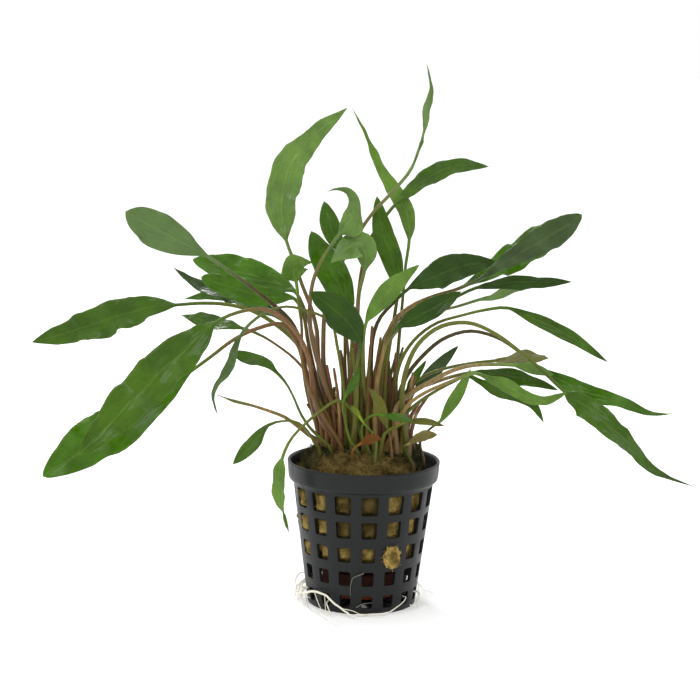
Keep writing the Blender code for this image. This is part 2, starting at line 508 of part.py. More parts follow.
class Shape:
    """A leaf as stations from foot to tip: centre, half widths across, upward normal and thickness."""

    def __init__(self, spec):
        self.spec = spec
        column, row = spec.foot
        x = (column - FOOT_COLUMN + 0.5 * (row % 2)) * FOOT_PITCH
        y = (row - FOOT_ROW) * ROW_PITCH
        foot = (x, y, wool_top(x, y) + FOOT_GAP)
        neck = Vector(spec.blade[0])
        stalk = [foot, *spec.stalk, neck]
        stalk_length = sum((Vector(b) - Vector(a)).length for a, b in zip(stalk, stalk[1:]))
        blade_length = sum((Vector(b) - Vector(a)).length for a, b in zip(spec.blade, spec.blade[1:]))
        self.stalk_count = STALK_STATIONS + int(stalk_length / STALK_STEP)
        self.blade_count = BLADE_STATIONS + int(blade_length / BLADE_STEP) if spec.width else CUT_STATIONS
        self.waves = max(blade_length / RIPPLE_PITCH, 1.0)
        count = ROUTE_POINTS
        dense = spline([foot, *spec.stalk, *spec.blade], count)
        at_neck = int(np.argmin(np.linalg.norm(dense - np.array(neck), axis=1)))
        past_neck = count - 1 - at_neck
        places = [at_neck * k / self.stalk_count for k in range(self.stalk_count)]
        places += [at_neck + past_neck * k / self.blade_count for k in range(self.blade_count + 1)]
        whole = np.arange(count)
        self.centres = np.array([[np.interp(p, whole, dense[:, k]) for k in range(3)] for p in places])
        self.frame()

    def frame(self):
        """Work out each station's across and normal directions and its sizes from its centre line."""
        spec = self.spec
        count = len(self.centres)
        self.left, self.right = np.zeros((count, 3)), np.zeros((count, 3))
        self.normal = np.zeros((count, 3))
        self.thick = np.zeros(count)
        for k in range(count):
            ahead = self.centres[min(k + 1, count - 1)] - self.centres[max(k - 1, 0)]
            along = Vector(ahead).normalized() if k else Vector((0.0, 0.0, 1.0))
            t = max(k - self.stalk_count, 0) / self.blade_count
            across = TOWARD_EYE.cross(along).normalized()
            normal = along.cross(across)
            angle = math.radians(spec.turn[0] + (spec.turn[1] - spec.turn[0]) * t)
            across, normal = (math.cos(angle) * across + math.sin(angle) * normal,
                              math.cos(angle) * normal - math.sin(angle) * across)
            stalk = STALK_FOOT + (STALK_NECK - STALK_FOOT) * min(k / self.stalk_count, 1.0)
            swell = 0.0
            if 0 < t < 1:
                swell = math.sin(math.pi * t ** (math.log(0.5) / math.log(spec.peak))) ** SWELL_POWER
            half = 0.5 * max(spec.width * swell, stalk * (1.0 - t))
            self.thick[k] = stalk if t == 0 else MIDRIB + (TIP_THICKNESS - MIDRIB) * t
            wave = 2 * math.pi * self.waves * t
            lift = half * FOLD * min(FOLD_RISE * t, 1.0)
            sway = spec.ripple * spec.width * swell
            left = across * half + normal * (lift + sway * math.sin(wave))
            right = -across * half + normal * (lift + sway * math.sin(wave + RIPPLE_LAG))
            self.left[k] = self.centres[k] + np.array(left)
            self.right[k] = self.centres[k] + np.array(right)
            self.normal[k] = np.array(normal)

    def samples(self):
        """Points spread over the leaf, with half thickness, station below and the step past it."""
        points, sizes, stations, steps = [], [], [], []
        for k in range(len(self.centres) - 1):
            length = np.linalg.norm(self.centres[k + 1] - self.centres[k])
            width = max(np.linalg.norm(self.left[j] - self.right[j]) for j in (k, k + 1))
            rows = max(int(math.ceil(length / SAMPLE_ALONG)), 1)
            columns = max(int(math.ceil(width / SAMPLE_ACROSS)), 1)
            for row in range(rows):
                f = row / rows
                centre = (1 - f) * self.centres[k] + f * self.centres[k + 1]
                half = 0.5 * ((1 - f) * self.thick[k] + f * self.thick[k + 1])
                for column in range(-columns, columns + 1):
                    s = abs(column) / columns
                    edge = self.left if column > 0 else self.right
                    side = (1 - f) * edge[k] + f * edge[k + 1]
                    points.append((1 - s) * centre + s * side)
                    sizes.append(half * (1 - s) + SAMPLE_SKIN)
                    stations.append(k)
                    steps.append(f)
        return points, sizes, stations, steps


def close_pairs(shapes):
    """Every two sample points of different leaves that lie too close, and how far apart they must be."""
    points, sizes, owners, stations, steps = [], [], [], [], []
    for number, shape in enumerate(shapes):
        found = shape.samples()
        points += found[0]
        sizes += found[1]
        stations += found[2]
        steps += found[3]
        owners += [number] * len(found[0])
    tree = KDTree(len(points))
    for index, point in enumerate(points):
        tree.insert(point, index)
    tree.balance()
    pairs = []
    reach = max(sizes) * 2 + CLEARANCE
    for i, point in enumerate(points):
        for _, j, distance in tree.find_range(point, reach):
            need = sizes[i] + sizes[j] + CLEARANCE
            if owners[j] > owners[i] and distance < need:
                gap = points[i] - points[j]
                wanted = math.sqrt(max(need ** 2 - gap[0] ** 2 - gap[2] ** 2, 0.0))
                ends = (owners[i], stations[i], steps[i], owners[j], stations[j], steps[j])
                pairs.append((*ends, gap[1], wanted))
    return pairs


def ease_round(shapes, behind):
    """Move leaves that come too close apart, along the line of sight only. Returns the largest move.

    behind remembers, for two leaves that have met, which one keeps behind the other.
    """
    pairs = close_pairs(shapes)
    met = {}
    for a, _, _, b, _, _, gap, _ in pairs:
        met[a, b] = met.get((a, b), 0.0) + gap
    for pair, gap in met.items():
        behind.setdefault(pair, 1.0 if gap > 0 else -1.0)
    moves = [np.zeros(len(shape.centres)) for shape in shapes]
    for a, station_a, step_a, b, station_b, step_b, gap, wanted in pairs:
        sign = behind[a, b]
        push = 0.5 * (wanted - sign * gap)
        if push <= 0:
            continue
        both = ((a, station_a, step_a, sign * push), (b, station_b, step_b, -sign * push))
        for own, station, step, move in both:
            for k, share in ((station, 1 - step), (station + 1, step)):
                part = move * max(share, 0.5)
                if abs(part) > abs(moves[own][k]):
                    moves[own][k] = part
    largest = 0.0
    for shape, move in zip(shapes, moves):
        if not move.any():
            continue
        largest = max(largest, float(np.abs(move).max()))
        eased = np.convolve(np.pad(move, 1, mode="edge"), (0.25, 0.5, 0.25), mode="valid")
        eased = np.where(np.abs(move) > np.abs(eased), move, eased)
        eased[0] = 0.0
        shape.centres[:, 1] += eased
        shape.frame()
    return largest


def make_leaf(shape):
    """One leaf, stalk and blade in one piece. A ring is left edge, upper side, right edge, under side."""
    bm = bmesh.new()
    rings = []
    last = len(shape.centres) - 1
    for k in range(last):
        half = 0.5 * shape.thick[k] * shape.normal[k]
        corners = (shape.left[k], shape.centres[k] + half, shape.right[k], shape.centres[k] - half)
        rings.append([bm.verts.new(corner) for corner in corners])
    for low, high in zip(rings, rings[1:]):
        for j in range(4):
            nxt = (j + 1) % 4
            bm.faces.new((low[j], low[nxt], high[nxt], high[j]))
    tip = bm.verts.new(shape.centres[last])
    for j in range(4):
        bm.faces.new((rings[-1][j], rings[-1][(j + 1) % 4], tip))
    bm.faces.new(rings[0])
    bmesh.ops.triangulate(bm, faces=bm.faces)
    add_object(shape.spec.name, bm, HUES[shape.spec.hue], roughness=0.4, sharp_degrees=60)


def make_leaves():
    """All leaves, eased apart until none touches another."""
    shapes = [Shape(spec) for spec in (*LEAVES, CUT_STALK)]
    behind = {}
    for _ in range(EASING_ROUNDS):
        if ease_round(shapes, behind) < EASED:
            break
    for shape in shapes:
        make_leaf(shape)


def main():
    for obj in list(bpy.data.objects):
        bpy.data.objects.remove(obj)
    make_pot()
    make_wool()
    make_clay_ring()
    for name, (radius, points) in ROOTS.items():
        make_root(name, radius, points)
    make_leaves()


main()
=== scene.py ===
import json
import math
from collections import namedtuple
from contextlib import contextmanager

import bmesh
import bpy
import numpy as np
from mathutils import Matrix, Vector, noise


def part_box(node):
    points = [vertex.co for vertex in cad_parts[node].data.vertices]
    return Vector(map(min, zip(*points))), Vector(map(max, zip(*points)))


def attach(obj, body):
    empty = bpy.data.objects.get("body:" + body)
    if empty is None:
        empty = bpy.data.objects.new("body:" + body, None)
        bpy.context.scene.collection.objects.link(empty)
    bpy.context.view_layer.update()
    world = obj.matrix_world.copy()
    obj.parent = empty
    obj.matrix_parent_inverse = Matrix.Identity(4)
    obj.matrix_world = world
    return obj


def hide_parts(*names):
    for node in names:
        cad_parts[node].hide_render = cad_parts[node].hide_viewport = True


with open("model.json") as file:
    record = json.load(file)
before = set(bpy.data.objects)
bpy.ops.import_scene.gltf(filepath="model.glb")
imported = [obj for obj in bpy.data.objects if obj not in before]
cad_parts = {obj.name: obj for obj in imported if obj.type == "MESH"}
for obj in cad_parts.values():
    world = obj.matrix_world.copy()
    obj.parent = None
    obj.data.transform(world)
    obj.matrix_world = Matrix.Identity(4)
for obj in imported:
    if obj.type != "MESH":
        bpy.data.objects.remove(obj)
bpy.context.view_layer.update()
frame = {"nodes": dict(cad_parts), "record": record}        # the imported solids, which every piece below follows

bl_info = {
    "name": "Potted Cryptocoryne",
    "version": (1, 0, 0),
    "blender": (4, 5, 0),
    "location": "3D View > Sidebar > Plant",
    "description": "Dresses a potted aquarium plant: net pot, mineral wool, clay ring, roots and wavy leaves",
    "category": "Object",
}

MM = 0.001
SEED = 7
MERGE = 1e-6


def srgb(red, green, blue):
    """A colour given as display values from 0 to 255, as linear light."""
    values = (red / 255, green / 255, blue / 255)
    return tuple(v / 12.92 if v <= 0.04045 else ((v + 0.055) / 1.055) ** 2.4 for v in values)


# Sizes and colours that a user would change

def number(name, note, default, **kind):
    """A plain number, or one with a unit or subtype."""
    return bpy.props.FloatProperty(name=name, description=note, default=default, **kind)


def size(name, note, default):
    """A length in metres."""
    return number(name, note, default, unit="LENGTH", precision=5)


def share(name, note, default):
    """A part of something else."""
    return number(name, note, default, subtype="FACTOR")


def count(name, note, default):
    """A whole number."""
    return bpy.props.IntProperty(name=name, description=note, default=default)


def colour(name, note, default):
    """A colour in linear light."""
    return bpy.props.FloatVectorProperty(name=name, description=note, default=default, subtype="COLOR",
                                         size=3, min=0.0, max=1.0)


class PotSettings(bpy.types.PropertyGroup):
    rim_radius: size("Rim radius", "Outer radius of the band at the top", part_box("net_pot")[1].x)
    height: size("Height", "From the table to the lip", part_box("net_pot")[1].z)
    foot_radius: size("Foot radius", "Outer radius of the foot", 0.0195)
    band_height: size("Band height", "Height of the plain band under the lip", 0.0073)
    wall_top_radius: size("Wall radius", "Outer radius of the wall just under the band", 0.0254)
    wall: size("Wall", "Thickness of wall and ribs", 0.0013)
    floor: size("Floor", "Thickness of the slotted floor", 0.0015)
    corner: size("Hole corner", "Rounding of the holes' corners", 0.0007)
    edge: size("Hole edge", "Rounding of the holes' rims", 0.00014)
    columns: count("Columns", "Hole columns around the pot", 16)
    plastic: colour("Plastic", "Colour of the pot", srgb(21, 23, 23))


class FillSettings(bpy.types.PropertyGroup):
    voxel: size("Wool detail", "Size of the wool surface's cells", 0.00055)
    lump: size("Wool lumps", "How far the wool's lumps stand out", 0.0011)
    fibres: count("Fibres", "Loose fibres over the wool", 5200)
    fibre_radius: size("Fibre radius", "Radius of a wool fibre", 0.00005)
    wool: colour("Wool", "Colour of clean wool", srgb(172, 148, 84))
    wool_dark: colour("Wet wool", "Colour of wet and shaded wool", srgb(92, 76, 36))
    moss: colour("Moss", "Colour of the algae around the crown", srgb(44, 50, 28))
    clay: colour("Clay", "Colour of the fired clay ring", srgb(126, 54, 30))
    bulge: size("Bulge", "How far the wool swells out through the holes", 0.0016)


class RootSettings(bpy.types.PropertyGroup):
    bend: size("Root waver", "How far roots waver off their route", 0.0009)
    hair_radius: size("Hair radius", "Radius of the finest roots", 0.00017)
    white: colour("Root", "Colour of healthy roots", srgb(228, 224, 208))
    tan: colour("Old root", "Colour of older roots", srgb(176, 158, 120))


class LeafSettings(bpy.types.PropertyGroup):
    lamina: size("Blade thickness", "Thickness of the blade between the veins", 0.0004)
    row_step: size("Row step", "Distance between the rows of points along a blade", 0.0011)
    ripple: share("Ripple", "Height of the wavy margin, as a share of the half width", 0.20)
    ripple_pitch: size("Ripple pitch", "Length of one wave of the margin", 0.0135)
    waver: share("Waver", "Unevenness of the outline, as a share of the half width", 0.42)
    quilting: size("Quilting", "How far the blade puckers between its veins", 0.00016)
    mid: colour("Mid green", "Common leaf colour", srgb(62, 97, 6))
    bright: colour("Bright green", "Young leaf colour", srgb(66, 110, 0))
    dark: colour("Dark green", "Shaded leaf colour", srgb(42, 74, 0))
    grey: colour("Grey green", "Dull leaf colour", srgb(62, 84, 42))
    pale: colour("Pale green", "Thin leaf colour", srgb(94, 130, 42))
    young: colour("Young green", "Colour of the newest shoot", srgb(126, 148, 30))
    silver: colour("Silver green", "Underside colour", srgb(88, 114, 62))
    olive: colour("Olive", "Old small leaf colour", srgb(104, 104, 34))
    straw: colour("Straw", "Shrivelled leaf colour", srgb(150, 138, 82))
    withered: colour("Withered", "Dead leaf colour", srgb(128, 78, 28))


class StageSettings(bpy.types.PropertyGroup):
    place: bpy.props.FloatVectorProperty(
        name="Camera place", description="Where the camera stands", default=(-0.00565, -0.8, 0.22873),
        subtype="TRANSLATION", unit="LENGTH")
    tilt: number("Camera tilt", "How far the camera looks down", math.radians(9.676), unit="ROTATION")
    roll: number("Camera roll", "Turn about the line of sight", math.radians(1.02), unit="ROTATION")
    lens: number("Lens", "Focal length in mm on a 36 mm frame", 116.52)
    floor_radius: size("Floor radius", "Radius of the pale floor", 4.0)
    floor: colour("Floor", "Colour of the floor", (0.9, 0.9, 0.9))
    floor_lift: number("Floor lift", "Own light of the floor", 0.12)
    sky: number("Sky", "Strength of the light from all round", 1.0)
    sun: number("Overhead light", "Strength of the even soft light", 0.55)
    back_light: number("Back light", "Power of the lamp behind the plant", 3.0, unit="POWER")
    key: number("Key light", "Power of the large soft light", 2.0, unit="POWER")


# Small helpers for meshes, materials and node trees

FIELDS = {"FLOAT": "value", "FLOAT_VECTOR": "vector", "FLOAT_COLOR": "color"}
GEOMETRY = "NodeSocketGeometry"
NUMBER = "NodeSocketFloat"
WHOLE = "NodeSocketInt"
FINISH = "NodeSocketMaterial"
TINT = "NodeSocketColor"
ARROW = "NodeSocketVector"


def settings(name):
    """One of the scene's groups of settings."""
    return getattr(bpy.context.scene, "plant_" + name)


def climb(value, low, high):
    """How far a value is from low to high, from 0 to 1."""
    return min(max((value - low) / (high - low), 0.0), 1.0)


def scaled(row):
    """Lengths in millimetres as metres."""
    return tuple(MM * value for value in row)


def add_object(name, data):
    """A new object at the origin."""
    obj = bpy.data.objects.new(name, data)
    bpy.context.scene.collection.objects.link(obj)
    return obj


def add_mesh(name, verts, faces, material=None, attributes=None):
    """A new object from points and faces in metres, with its point attributes."""
    mesh = bpy.data.meshes.new(name)
    mesh.from_pydata([tuple(v) for v in verts], [], faces)
    for key, (kind, values) in (attributes or {}).items():
        layer = mesh.attributes.new(key, kind, "POINT")
        layer.data.foreach_set(FIELDS[kind], np.asarray(values, dtype=np.float32).ravel())
    mesh.validate()
    if material:
        mesh.materials.append(material)
    return add_object(name, mesh)


@contextmanager
def opened(mesh):
    """A mesh opened for editing, and written back at the end."""
    bm = bmesh.new()
    bm.from_mesh(mesh)
    yield bm
    bm.to_mesh(mesh)
    bm.free()


def face_outwards(obj):
    """Turn every face of a closed mesh outwards and shade it smooth."""
    with opened(obj.data) as bm:
        bmesh.ops.recalc_face_normals(bm, faces=bm.faces)
    obj.data.shade_smooth()


def finish_piece(obj, slot, *nodes):
    """Hang a finished piece on the root body, hide the solids it stands for and drop its empty material slots.
    The slot is not used.
    """
    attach(obj, "root")
    if nodes:
        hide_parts(*nodes)
    for index in reversed(range(len(obj.data.materials))):
        if obj.data.materials[index] is None:
            obj.data.materials.pop(index=index)


def applied(source):
    """An object in the source's place, with the source's modifiers made part of a plain mesh."""
    graph = bpy.context.evaluated_depsgraph_get()
    mesh = bpy.data.meshes.new_from_object(source.evaluated_get(graph), preserve_all_data_layers=True,
                                           depsgraph=graph)
    name = source.name
    bpy.data.objects.remove(source)
    mesh.name = name
    return add_object(name, mesh)


def run_tree(source, tree, **inputs):
    """Run a Geometry Nodes tree on an object and keep its result as a plain mesh."""
    modifier = source.modifiers.new(tree.name, "NODES")
    modifier.node_group = tree
    for item in tree.interface.items_tree:
        key = item.name.lower()
        if item.in_out == "INPUT" and key in inputs:
            modifier[item.identifier] = inputs.pop(key)
    if inputs:
        raise RuntimeError(f"{tree.name} has no inputs named {sorted(inputs)}")
    return applied(source)


def feed(tree, node, inputs):
    """Join or set a node's inputs, given by name or number."""
    for key, value in inputs.items():
        if isinstance(value, bpy.types.NodeSocket):
            tree.links.new(value, node.inputs[key])
        else:
            node.inputs[key].default_value = value
    return node


def put(tree, kind, inputs=None, **options):
    """Add a node, set its options and feed its inputs."""
    node = tree.nodes.new(kind)
    for key, value in options.items():
        setattr(node, key, value)
    return feed(tree, node, inputs or {})


def calc(tree, operation, *values):
    """The result of one Math node."""
    return put(tree, "ShaderNodeMath", dict(enumerate(values)), operation=operation).outputs[0]


def times(tree, first, second):
    """One value multiplied by another."""
    return calc(tree, "MULTIPLY", first, second)


def plus(tree, first, second):
    """Two values added."""
    return calc(tree, "ADD", first, second)


def less(tree, first, second):
    """The first value with the second taken off."""
    return calc(tree, "SUBTRACT", first, second)


def vector_calc(tree, operation, first, second):
    """The result of one Vector Math node."""
    return put(tree, "ShaderNodeVectorMath", {0: first, 1: second}, operation=operation).outputs[0]


def multiplied(tree, vector, factor):
    """A vector or colour multiplied by a number."""
    return put(tree, "ShaderNodeVectorMath", {0: vector, "Scale": factor}, operation="SCALE").outputs[0]


def ramp(tree, value, low, high, to_low=0.0, to_high=1.0):
    """A value carried smoothly from one range to another."""
    inputs = {"Value": value, "From Min": low, "From Max": high, "To Min": to_low, "To Max": to_high}
    return put(tree, "ShaderNodeMapRange", inputs, interpolation_type="SMOOTHSTEP").outputs["Result"]


def blend(tree, factor, first, second):
    """Two colours mixed."""
    return put(tree, "ShaderNodeMix", {0: factor, 6: first, 7: second}, data_type="RGBA").outputs[2]


def speckle(tree, vector, scale, detail=3.0, roughness=0.55, distortion=0.0, result="Fac"):
    """A noise value from 0 to 1, or with the result Color three of them."""
    inputs = {"Vector": vector, "Scale": scale, "Detail": detail, "Roughness": roughness,
              "Distortion": distortion}
    return put(tree, "ShaderNodeTexNoise", inputs).outputs[result]


def new_group(name, kind, inputs, outputs):
    """A node group with named sockets. Returns the group, its input sockets and its output node."""
    group = bpy.data.node_groups.new(name, kind)
    for in_out, items in (("INPUT", inputs), ("OUTPUT", outputs)):
        for label, socket, default in items:
            item = group.interface.new_socket(name=label, in_out=in_out, socket_type=socket)
            if default is not None:
                item.default_value = default
    return group, group.nodes.new("NodeGroupInput").outputs, group.nodes.new("NodeGroupOutput")


def new_tree(name, *inputs):
    """A Geometry Nodes tree that makes one mesh. Returns the tree, its input sockets and its output node."""
    return new_group(name, "GeometryNodeTree", [*inputs, ("Material", FINISH, None)],
                     [("Geometry", GEOMETRY, None)])


def end_tree(tree, outlet, geometry, material, smooth=True):
    """The end of every tree: instances made real, shaded smooth, given their material."""
    real = put(tree, "GeometryNodeRealizeInstances", {"Geometry": geometry})
    shaded = put(tree, "GeometryNodeSetShadeSmooth", {"Geometry": real.outputs[0], "Shade Smooth": smooth})
    final = put(tree, "GeometryNodeSetMaterial", {"Geometry": shaded.outputs[0], "Material": material})
    feed(tree, outlet, {0: final.outputs[0]})
    return tree


# Finishes

VEINS = 4.2               # about how many side veins each half of a blade has
VEIN_SLANT = 0.9


def grain_group():
    """Fine grain: a mask of light specks and a height, from Object coordinates."""
    if "grain" in bpy.data.node_groups:
        return bpy.data.node_groups["grain"]
    group, out, outlet = new_group(
        "grain", "ShaderNodeTree",
        [("Vector", ARROW, None), ("Coarse Scale", NUMBER, 200.0), ("Fine Scale", NUMBER, 1800.0)],
        [("Patches", NUMBER, None), ("Specks", NUMBER, None), ("Height", NUMBER, None)])
    coarse = speckle(group, out["Vector"], out["Coarse Scale"], detail=4.0)
    fine = speckle(group, out["Vector"], out["Fine Scale"], roughness=0.7)
    feed(group, outlet, {"Patches": coarse, "Specks": ramp(group, fine, 0.62, 0.78),
                         "Height": plus(group, times(group, coarse, 0.5), times(group, fine, 0.5))})
    return group


def blade_group():
    """Colour and relief of a leaf blade, from the place along and across it."""
    if "blade_pattern" in bpy.data.node_groups:
        return bpy.data.node_groups["blade_pattern"]
    group, out, outlet = new_group(
        "blade_pattern", "ShaderNodeTree",
        [("Vector", ARROW, None), ("Place", NUMBER, 0.0), ("Across", NUMBER, 0.0), ("Width", NUMBER, 0.005),
         ("Under", NUMBER, 0.0), ("Leaf", TINT, None), ("Deep", TINT, None), ("Rib", TINT, None),
         ("Back", TINT, None)],
        [("Colour", TINT, None), ("Height", NUMBER, None), ("Gloss", NUMBER, None)])
    away = calc(group, "ABSOLUTE", out["Across"])
    midrib = ramp(group, times(group, away, out["Width"]), 0.0001, 0.0005, 1.0, 0.0)
    slant = less(group, away, times(group, out["Place"], VEIN_SLANT))
    waver = times(group, speckle(group, out["Vector"], 160.0), 0.10)
    stripe = calc(group, "PINGPONG", times(group, plus(group, slant, waver), VEINS), 0.5)
    vein = ramp(group, stripe, 0.0, 0.075, 1.0, 0.0)
    cells = put(group, "ShaderNodeTexVoronoi", {"Vector": out["Vector"], "Scale": 900.0},
                feature="DISTANCE_TO_EDGE").outputs["Distance"]
    net = ramp(group, cells, 0.0, 0.12, 1.0, 0.0)
    patches = speckle(group, out["Vector"], 95.0, detail=4.0, roughness=0.6)
    freckles = ramp(group, speckle(group, out["Vector"], 520.0, detail=2.0), 0.56, 0.72)
    edge = ramp(group, away, 0.8, 1.0)
    ground = blend(group, ramp(group, patches, 0.32, 0.66), out["Deep"], out["Leaf"])
    for mask, strength, tint in ((freckles, 0.3, "Deep"), (edge, 0.14, "Rib"), (vein, 0.10, "Rib"),
                                 (net, 0.10, "Deep"), (out["Under"], 0.65, "Back"), (midrib, 0.14, "Rib")):
        ground = blend(group, times(group, mask, strength), ground, out[tint])
    furrows = plus(group, times(group, vein, 0.5), times(group, net, 0.16))
    feed(group, outlet, {"Colour": ground, "Height": less(group, times(group, patches, 0.4), furrows),
                         "Gloss": ramp(group, patches, 0.3, 0.7, 0.26, 0.42)})
    return group


def new_material(name):
    """A material with only its Principled shader. Returns it, its tree, the shader and Object coordinates."""
    material = bpy.data.materials.new(name)
    material.use_nodes = True
    tree = material.node_tree
    return material, tree, tree.nodes["Principled BSDF"], put(tree, "ShaderNodeTexCoord").outputs["Object"]


def grain_on(tree, vector, coarse, fine):
    """The shared grain with a material's own scales. Returns its output sockets."""
    inputs = {"Vector": vector, "Coarse Scale": coarse, "Fine Scale": fine}
    return put(tree, "ShaderNodeGroup", inputs, node_tree=grain_group()).outputs


def streaks(tree, vector, height, turn=(0.0, 0.0, 0.0)):
    """Coordinates with only their height scaled, so that a pattern on them is drawn out or flattened."""
    inputs = {"Vector": vector, "Scale": (1.0, 1.0, height), "Rotation": turn}
    return put(tree, "ShaderNodeMapping", inputs).outputs[0]


def axes_of(tree, vector):
    """A vector's X, Y and Z."""
    return put(tree, "ShaderNodeSeparateXYZ", {"Vector": vector}).outputs


def bump(tree, shader, height, distance, strength):
    """Feed a height to the shader's normal."""
    node = put(tree, "ShaderNodeBump", {"Height": height, "Distance": distance, "Strength": strength})
    feed(tree, shader, {"Normal": node.outputs[0]})


def rgba(values, lift=1.0):
    """A colour made lighter or darker, with its alpha."""
    return (*[min(v * lift, 1.0) for v in values], 1.0)


def plastic_finish():
    """Satin black moulded plastic with dust specks and pale rubbed patches."""
    material, tree, shader, place = new_material("black_plastic")
    grain = grain_on(tree, place, 130.0, 2600.0)
    scuffs = speckle(tree, streaks(tree, place, 5.0), 420.0, detail=5.0, roughness=0.7)
    rubbed = ramp(tree, scuffs, 0.60, 0.74)
    base = settings("pot").plastic
    ground = blend(tree, grain["Patches"], rgba(base, 0.75), rgba(base, 1.3))
    ground = blend(tree, times(tree, rubbed, 0.10), ground, rgba(base, 5.0))
    ground = blend(tree, times(tree, grain["Specks"], 0.10), ground, rgba(base, 9.0))
    feed(tree, shader, {"Base Color": ground, "Specular IOR Level": 0.24,
                        "Roughness": ramp(tree, grain["Patches"], 0.3, 0.7, 0.36, 0.5)})
    bump(tree, shader, grain["Height"], 0.00008, 0.5)
    return material


# Where the wool's colours change over, in metres from the pot's middle and foot
WET_SIDES = (0.0065, 0.0115)             # to the left and right of the wet middle
WET_START = (0.023, 0.030)
WET_END = (0.046, 0.050)
PAINTED_LIGHT_FADE = (0.045, 0.048)                # below these heights the wool behind the wall is painted 1.75 times lighter to make up for the pot's shade; above them the bare top gets 0.85 times its colour
ALGAE_FRONT = (-0.0135, -0.0110)
ALGAE_FOOT = (0.0495, 0.0515)


def wool_finish(name="matted_wool", lift=1.0):
    """Matted mineral wool: yellow brown, darker where wet, painted lighter behind the pot wall to make up for its
    shade, with dark algae around the crown.
    """
    material, tree, shader, place = new_material(name)
    look = settings("fill")
    axes = axes_of(tree, place)
    patches = speckle(tree, place, 210.0, detail=6.0, roughness=0.65)
    strands = streaks(tree, place, 3.5, turn=(0.5, 0.4, 0.0))
    fine = speckle(tree, strands, 1500.0, detail=4.0, roughness=0.75, distortion=1.5)
    ground = blend(tree, ramp(tree, patches, 0.36, 0.62), rgba(look.wool_dark, lift), rgba(look.wool, lift))
    ground = blend(tree, ramp(tree, fine, 0.35, 0.68, 0.75, 0.0), ground, rgba(look.wool_dark, 0.6 * lift))
    middle = ramp(tree, calc(tree, "ABSOLUTE", plus(tree, axes["X"], 0.001)), *WET_SIDES, 1.0, 0.0)
    high = times(tree, ramp(tree, axes["Z"], *WET_START), ramp(tree, axes["Z"], *WET_END, 1.0, 0.0))
    wet = times(tree, times(tree, middle, high), 0.75)
    # Painted light: behind the pot wall the wool is painted 1.75 times lighter to make up for the wall's shade,
    # and the bare top above gets 0.85 times its colour.
    below = ramp(tree, axes["Z"], *PAINTED_LIGHT_FADE, 1.0, 0.0)
    ground = blend(tree, below, multiplied(tree, ground, 0.85), multiplied(tree, ground, 1.75))
    ground = blend(tree, wet, ground, rgba(look.wool_dark, 0.35 * lift))
    blotch = speckle(tree, place, 240.0, detail=5.0)
    shore = plus(tree, axes["Y"], times(tree, less(tree, blotch, 0.5), 0.012))
    crown = times(tree, ramp(tree, shore, *ALGAE_FRONT), ramp(tree, axes["Z"], *ALGAE_FOOT))
    mossy = times(tree, crown, ramp(tree, patches, 0.34, 0.62, 0.97, 0.7))
    ground = blend(tree, mossy, ground, rgba(look.moss, lift))
    feed(tree, shader, {"Base Color": ground, "Roughness": 0.95, "Specular IOR Level": 0.15})
    bump(tree, shader, fine, 0.0009, 0.9)
    return material


def clay_finish():
    """Fired clay: red brown, gritty, with paler chalky patches, darker and wet above."""
    material, tree, shader, place = new_material("gritty_clay")
    grain = grain_on(tree, place, 260.0, 2100.0)
    clay = settings("fill").clay
    ground = blend(tree, grain["Patches"], rgba(clay, 0.6), rgba(clay, 1.5))
    ground = blend(tree, times(tree, grain["Specks"], 0.3), ground, rgba(clay, 2.4))
    damp = ramp(tree, axes_of(tree, place)["Z"], 0.0065, 0.0100)
    ground = blend(tree, damp, ground, multiplied(tree, ground, 0.24))
    feed(tree, shader, {"Base Color": ground, "Roughness": 0.9})
    bump(tree, shader, grain["Height"], 0.0003, 0.8)
    return material


def root_finish(name="white_root", lift=1.0):
    """White roots, slightly tan in patches."""
    material, tree, shader, place = new_material(name)
    look = settings("roots")
    grain = grain_on(tree, place, 180.0, 2400.0)
    old = ramp(tree, grain["Patches"], 0.54, 0.72, 0.0, 0.7)
    feed(tree, shader, {"Base Color": blend(tree, old, rgba(look.white, lift), rgba(look.tan, lift)),
                        "Roughness": 0.42})
    bump(tree, shader, grain["Height"], 0.0001, 0.5)
    return material


COMMON_GLOSS = 0.10
GLOSS_OF_SLOT = {"leaf_pale": 0.34, "leaf_bright": 0.12}
DRY_SLOTS = ("old_leaf", "dead_leaf")


def leaf_finish(name, slot):
    """A leaf's finish: a stalk in its own tint that turns into a veined blade."""
    material, tree, shader, place = new_material(name)
    look = settings("leaves")
    read = {key: put(tree, "ShaderNodeAttribute", attribute_name=key).outputs
            for key in ("place", "across", "width", "under", "stalk_tint", "blade_tint")}
    tint = read["blade_tint"]["Color"]
    along = read["place"]["Fac"]
    pattern = put(tree, "ShaderNodeGroup", {
        "Vector": place, "Place": along, "Across": read["across"]["Fac"],
        "Width": read["width"]["Fac"], "Under": read["under"]["Fac"], "Leaf": tint,
        "Deep": multiplied(tree, tint, 0.62),
        "Rib": blend(tree, 0.35, multiplied(tree, tint, 1.9), rgba(srgb(150, 160, 80))),
        "Back": blend(tree, 0.55, tint, rgba(look.silver))}, node_tree=blade_group()).outputs
    ridges = ramp(tree, speckle(tree, streaks(tree, place, 0.25), 900.0), 0.3, 0.7, 0.0, 0.6)
    stalk = blend(tree, ridges, read["stalk_tint"]["Color"], rgba(look.olive, 0.6))
    foot = ramp(tree, along, -1.0, -0.55, 1.0, 0.0)
    stalk = blend(tree, times(tree, foot, 0.4), stalk, rgba(srgb(84, 56, 38)))
    neck = ramp(tree, along, -0.30, 0.03)
    feed(tree, shader, {
        "Base Color": blend(tree, neck, stalk, pattern["Colour"]), "Roughness": pattern["Gloss"],
        "Specular IOR Level": GLOSS_OF_SLOT.get(slot, COMMON_GLOSS),
        "Coat Weight": 0.0 if slot in DRY_SLOTS else 0.22, "Coat Roughness": 0.14})
    bump(tree, shader, pattern["Height"], 0.00022, 0.7)
    return material


# Net pot: one upright strip with its holes, repeated around the pot. Its rows and fields are in millimetres.

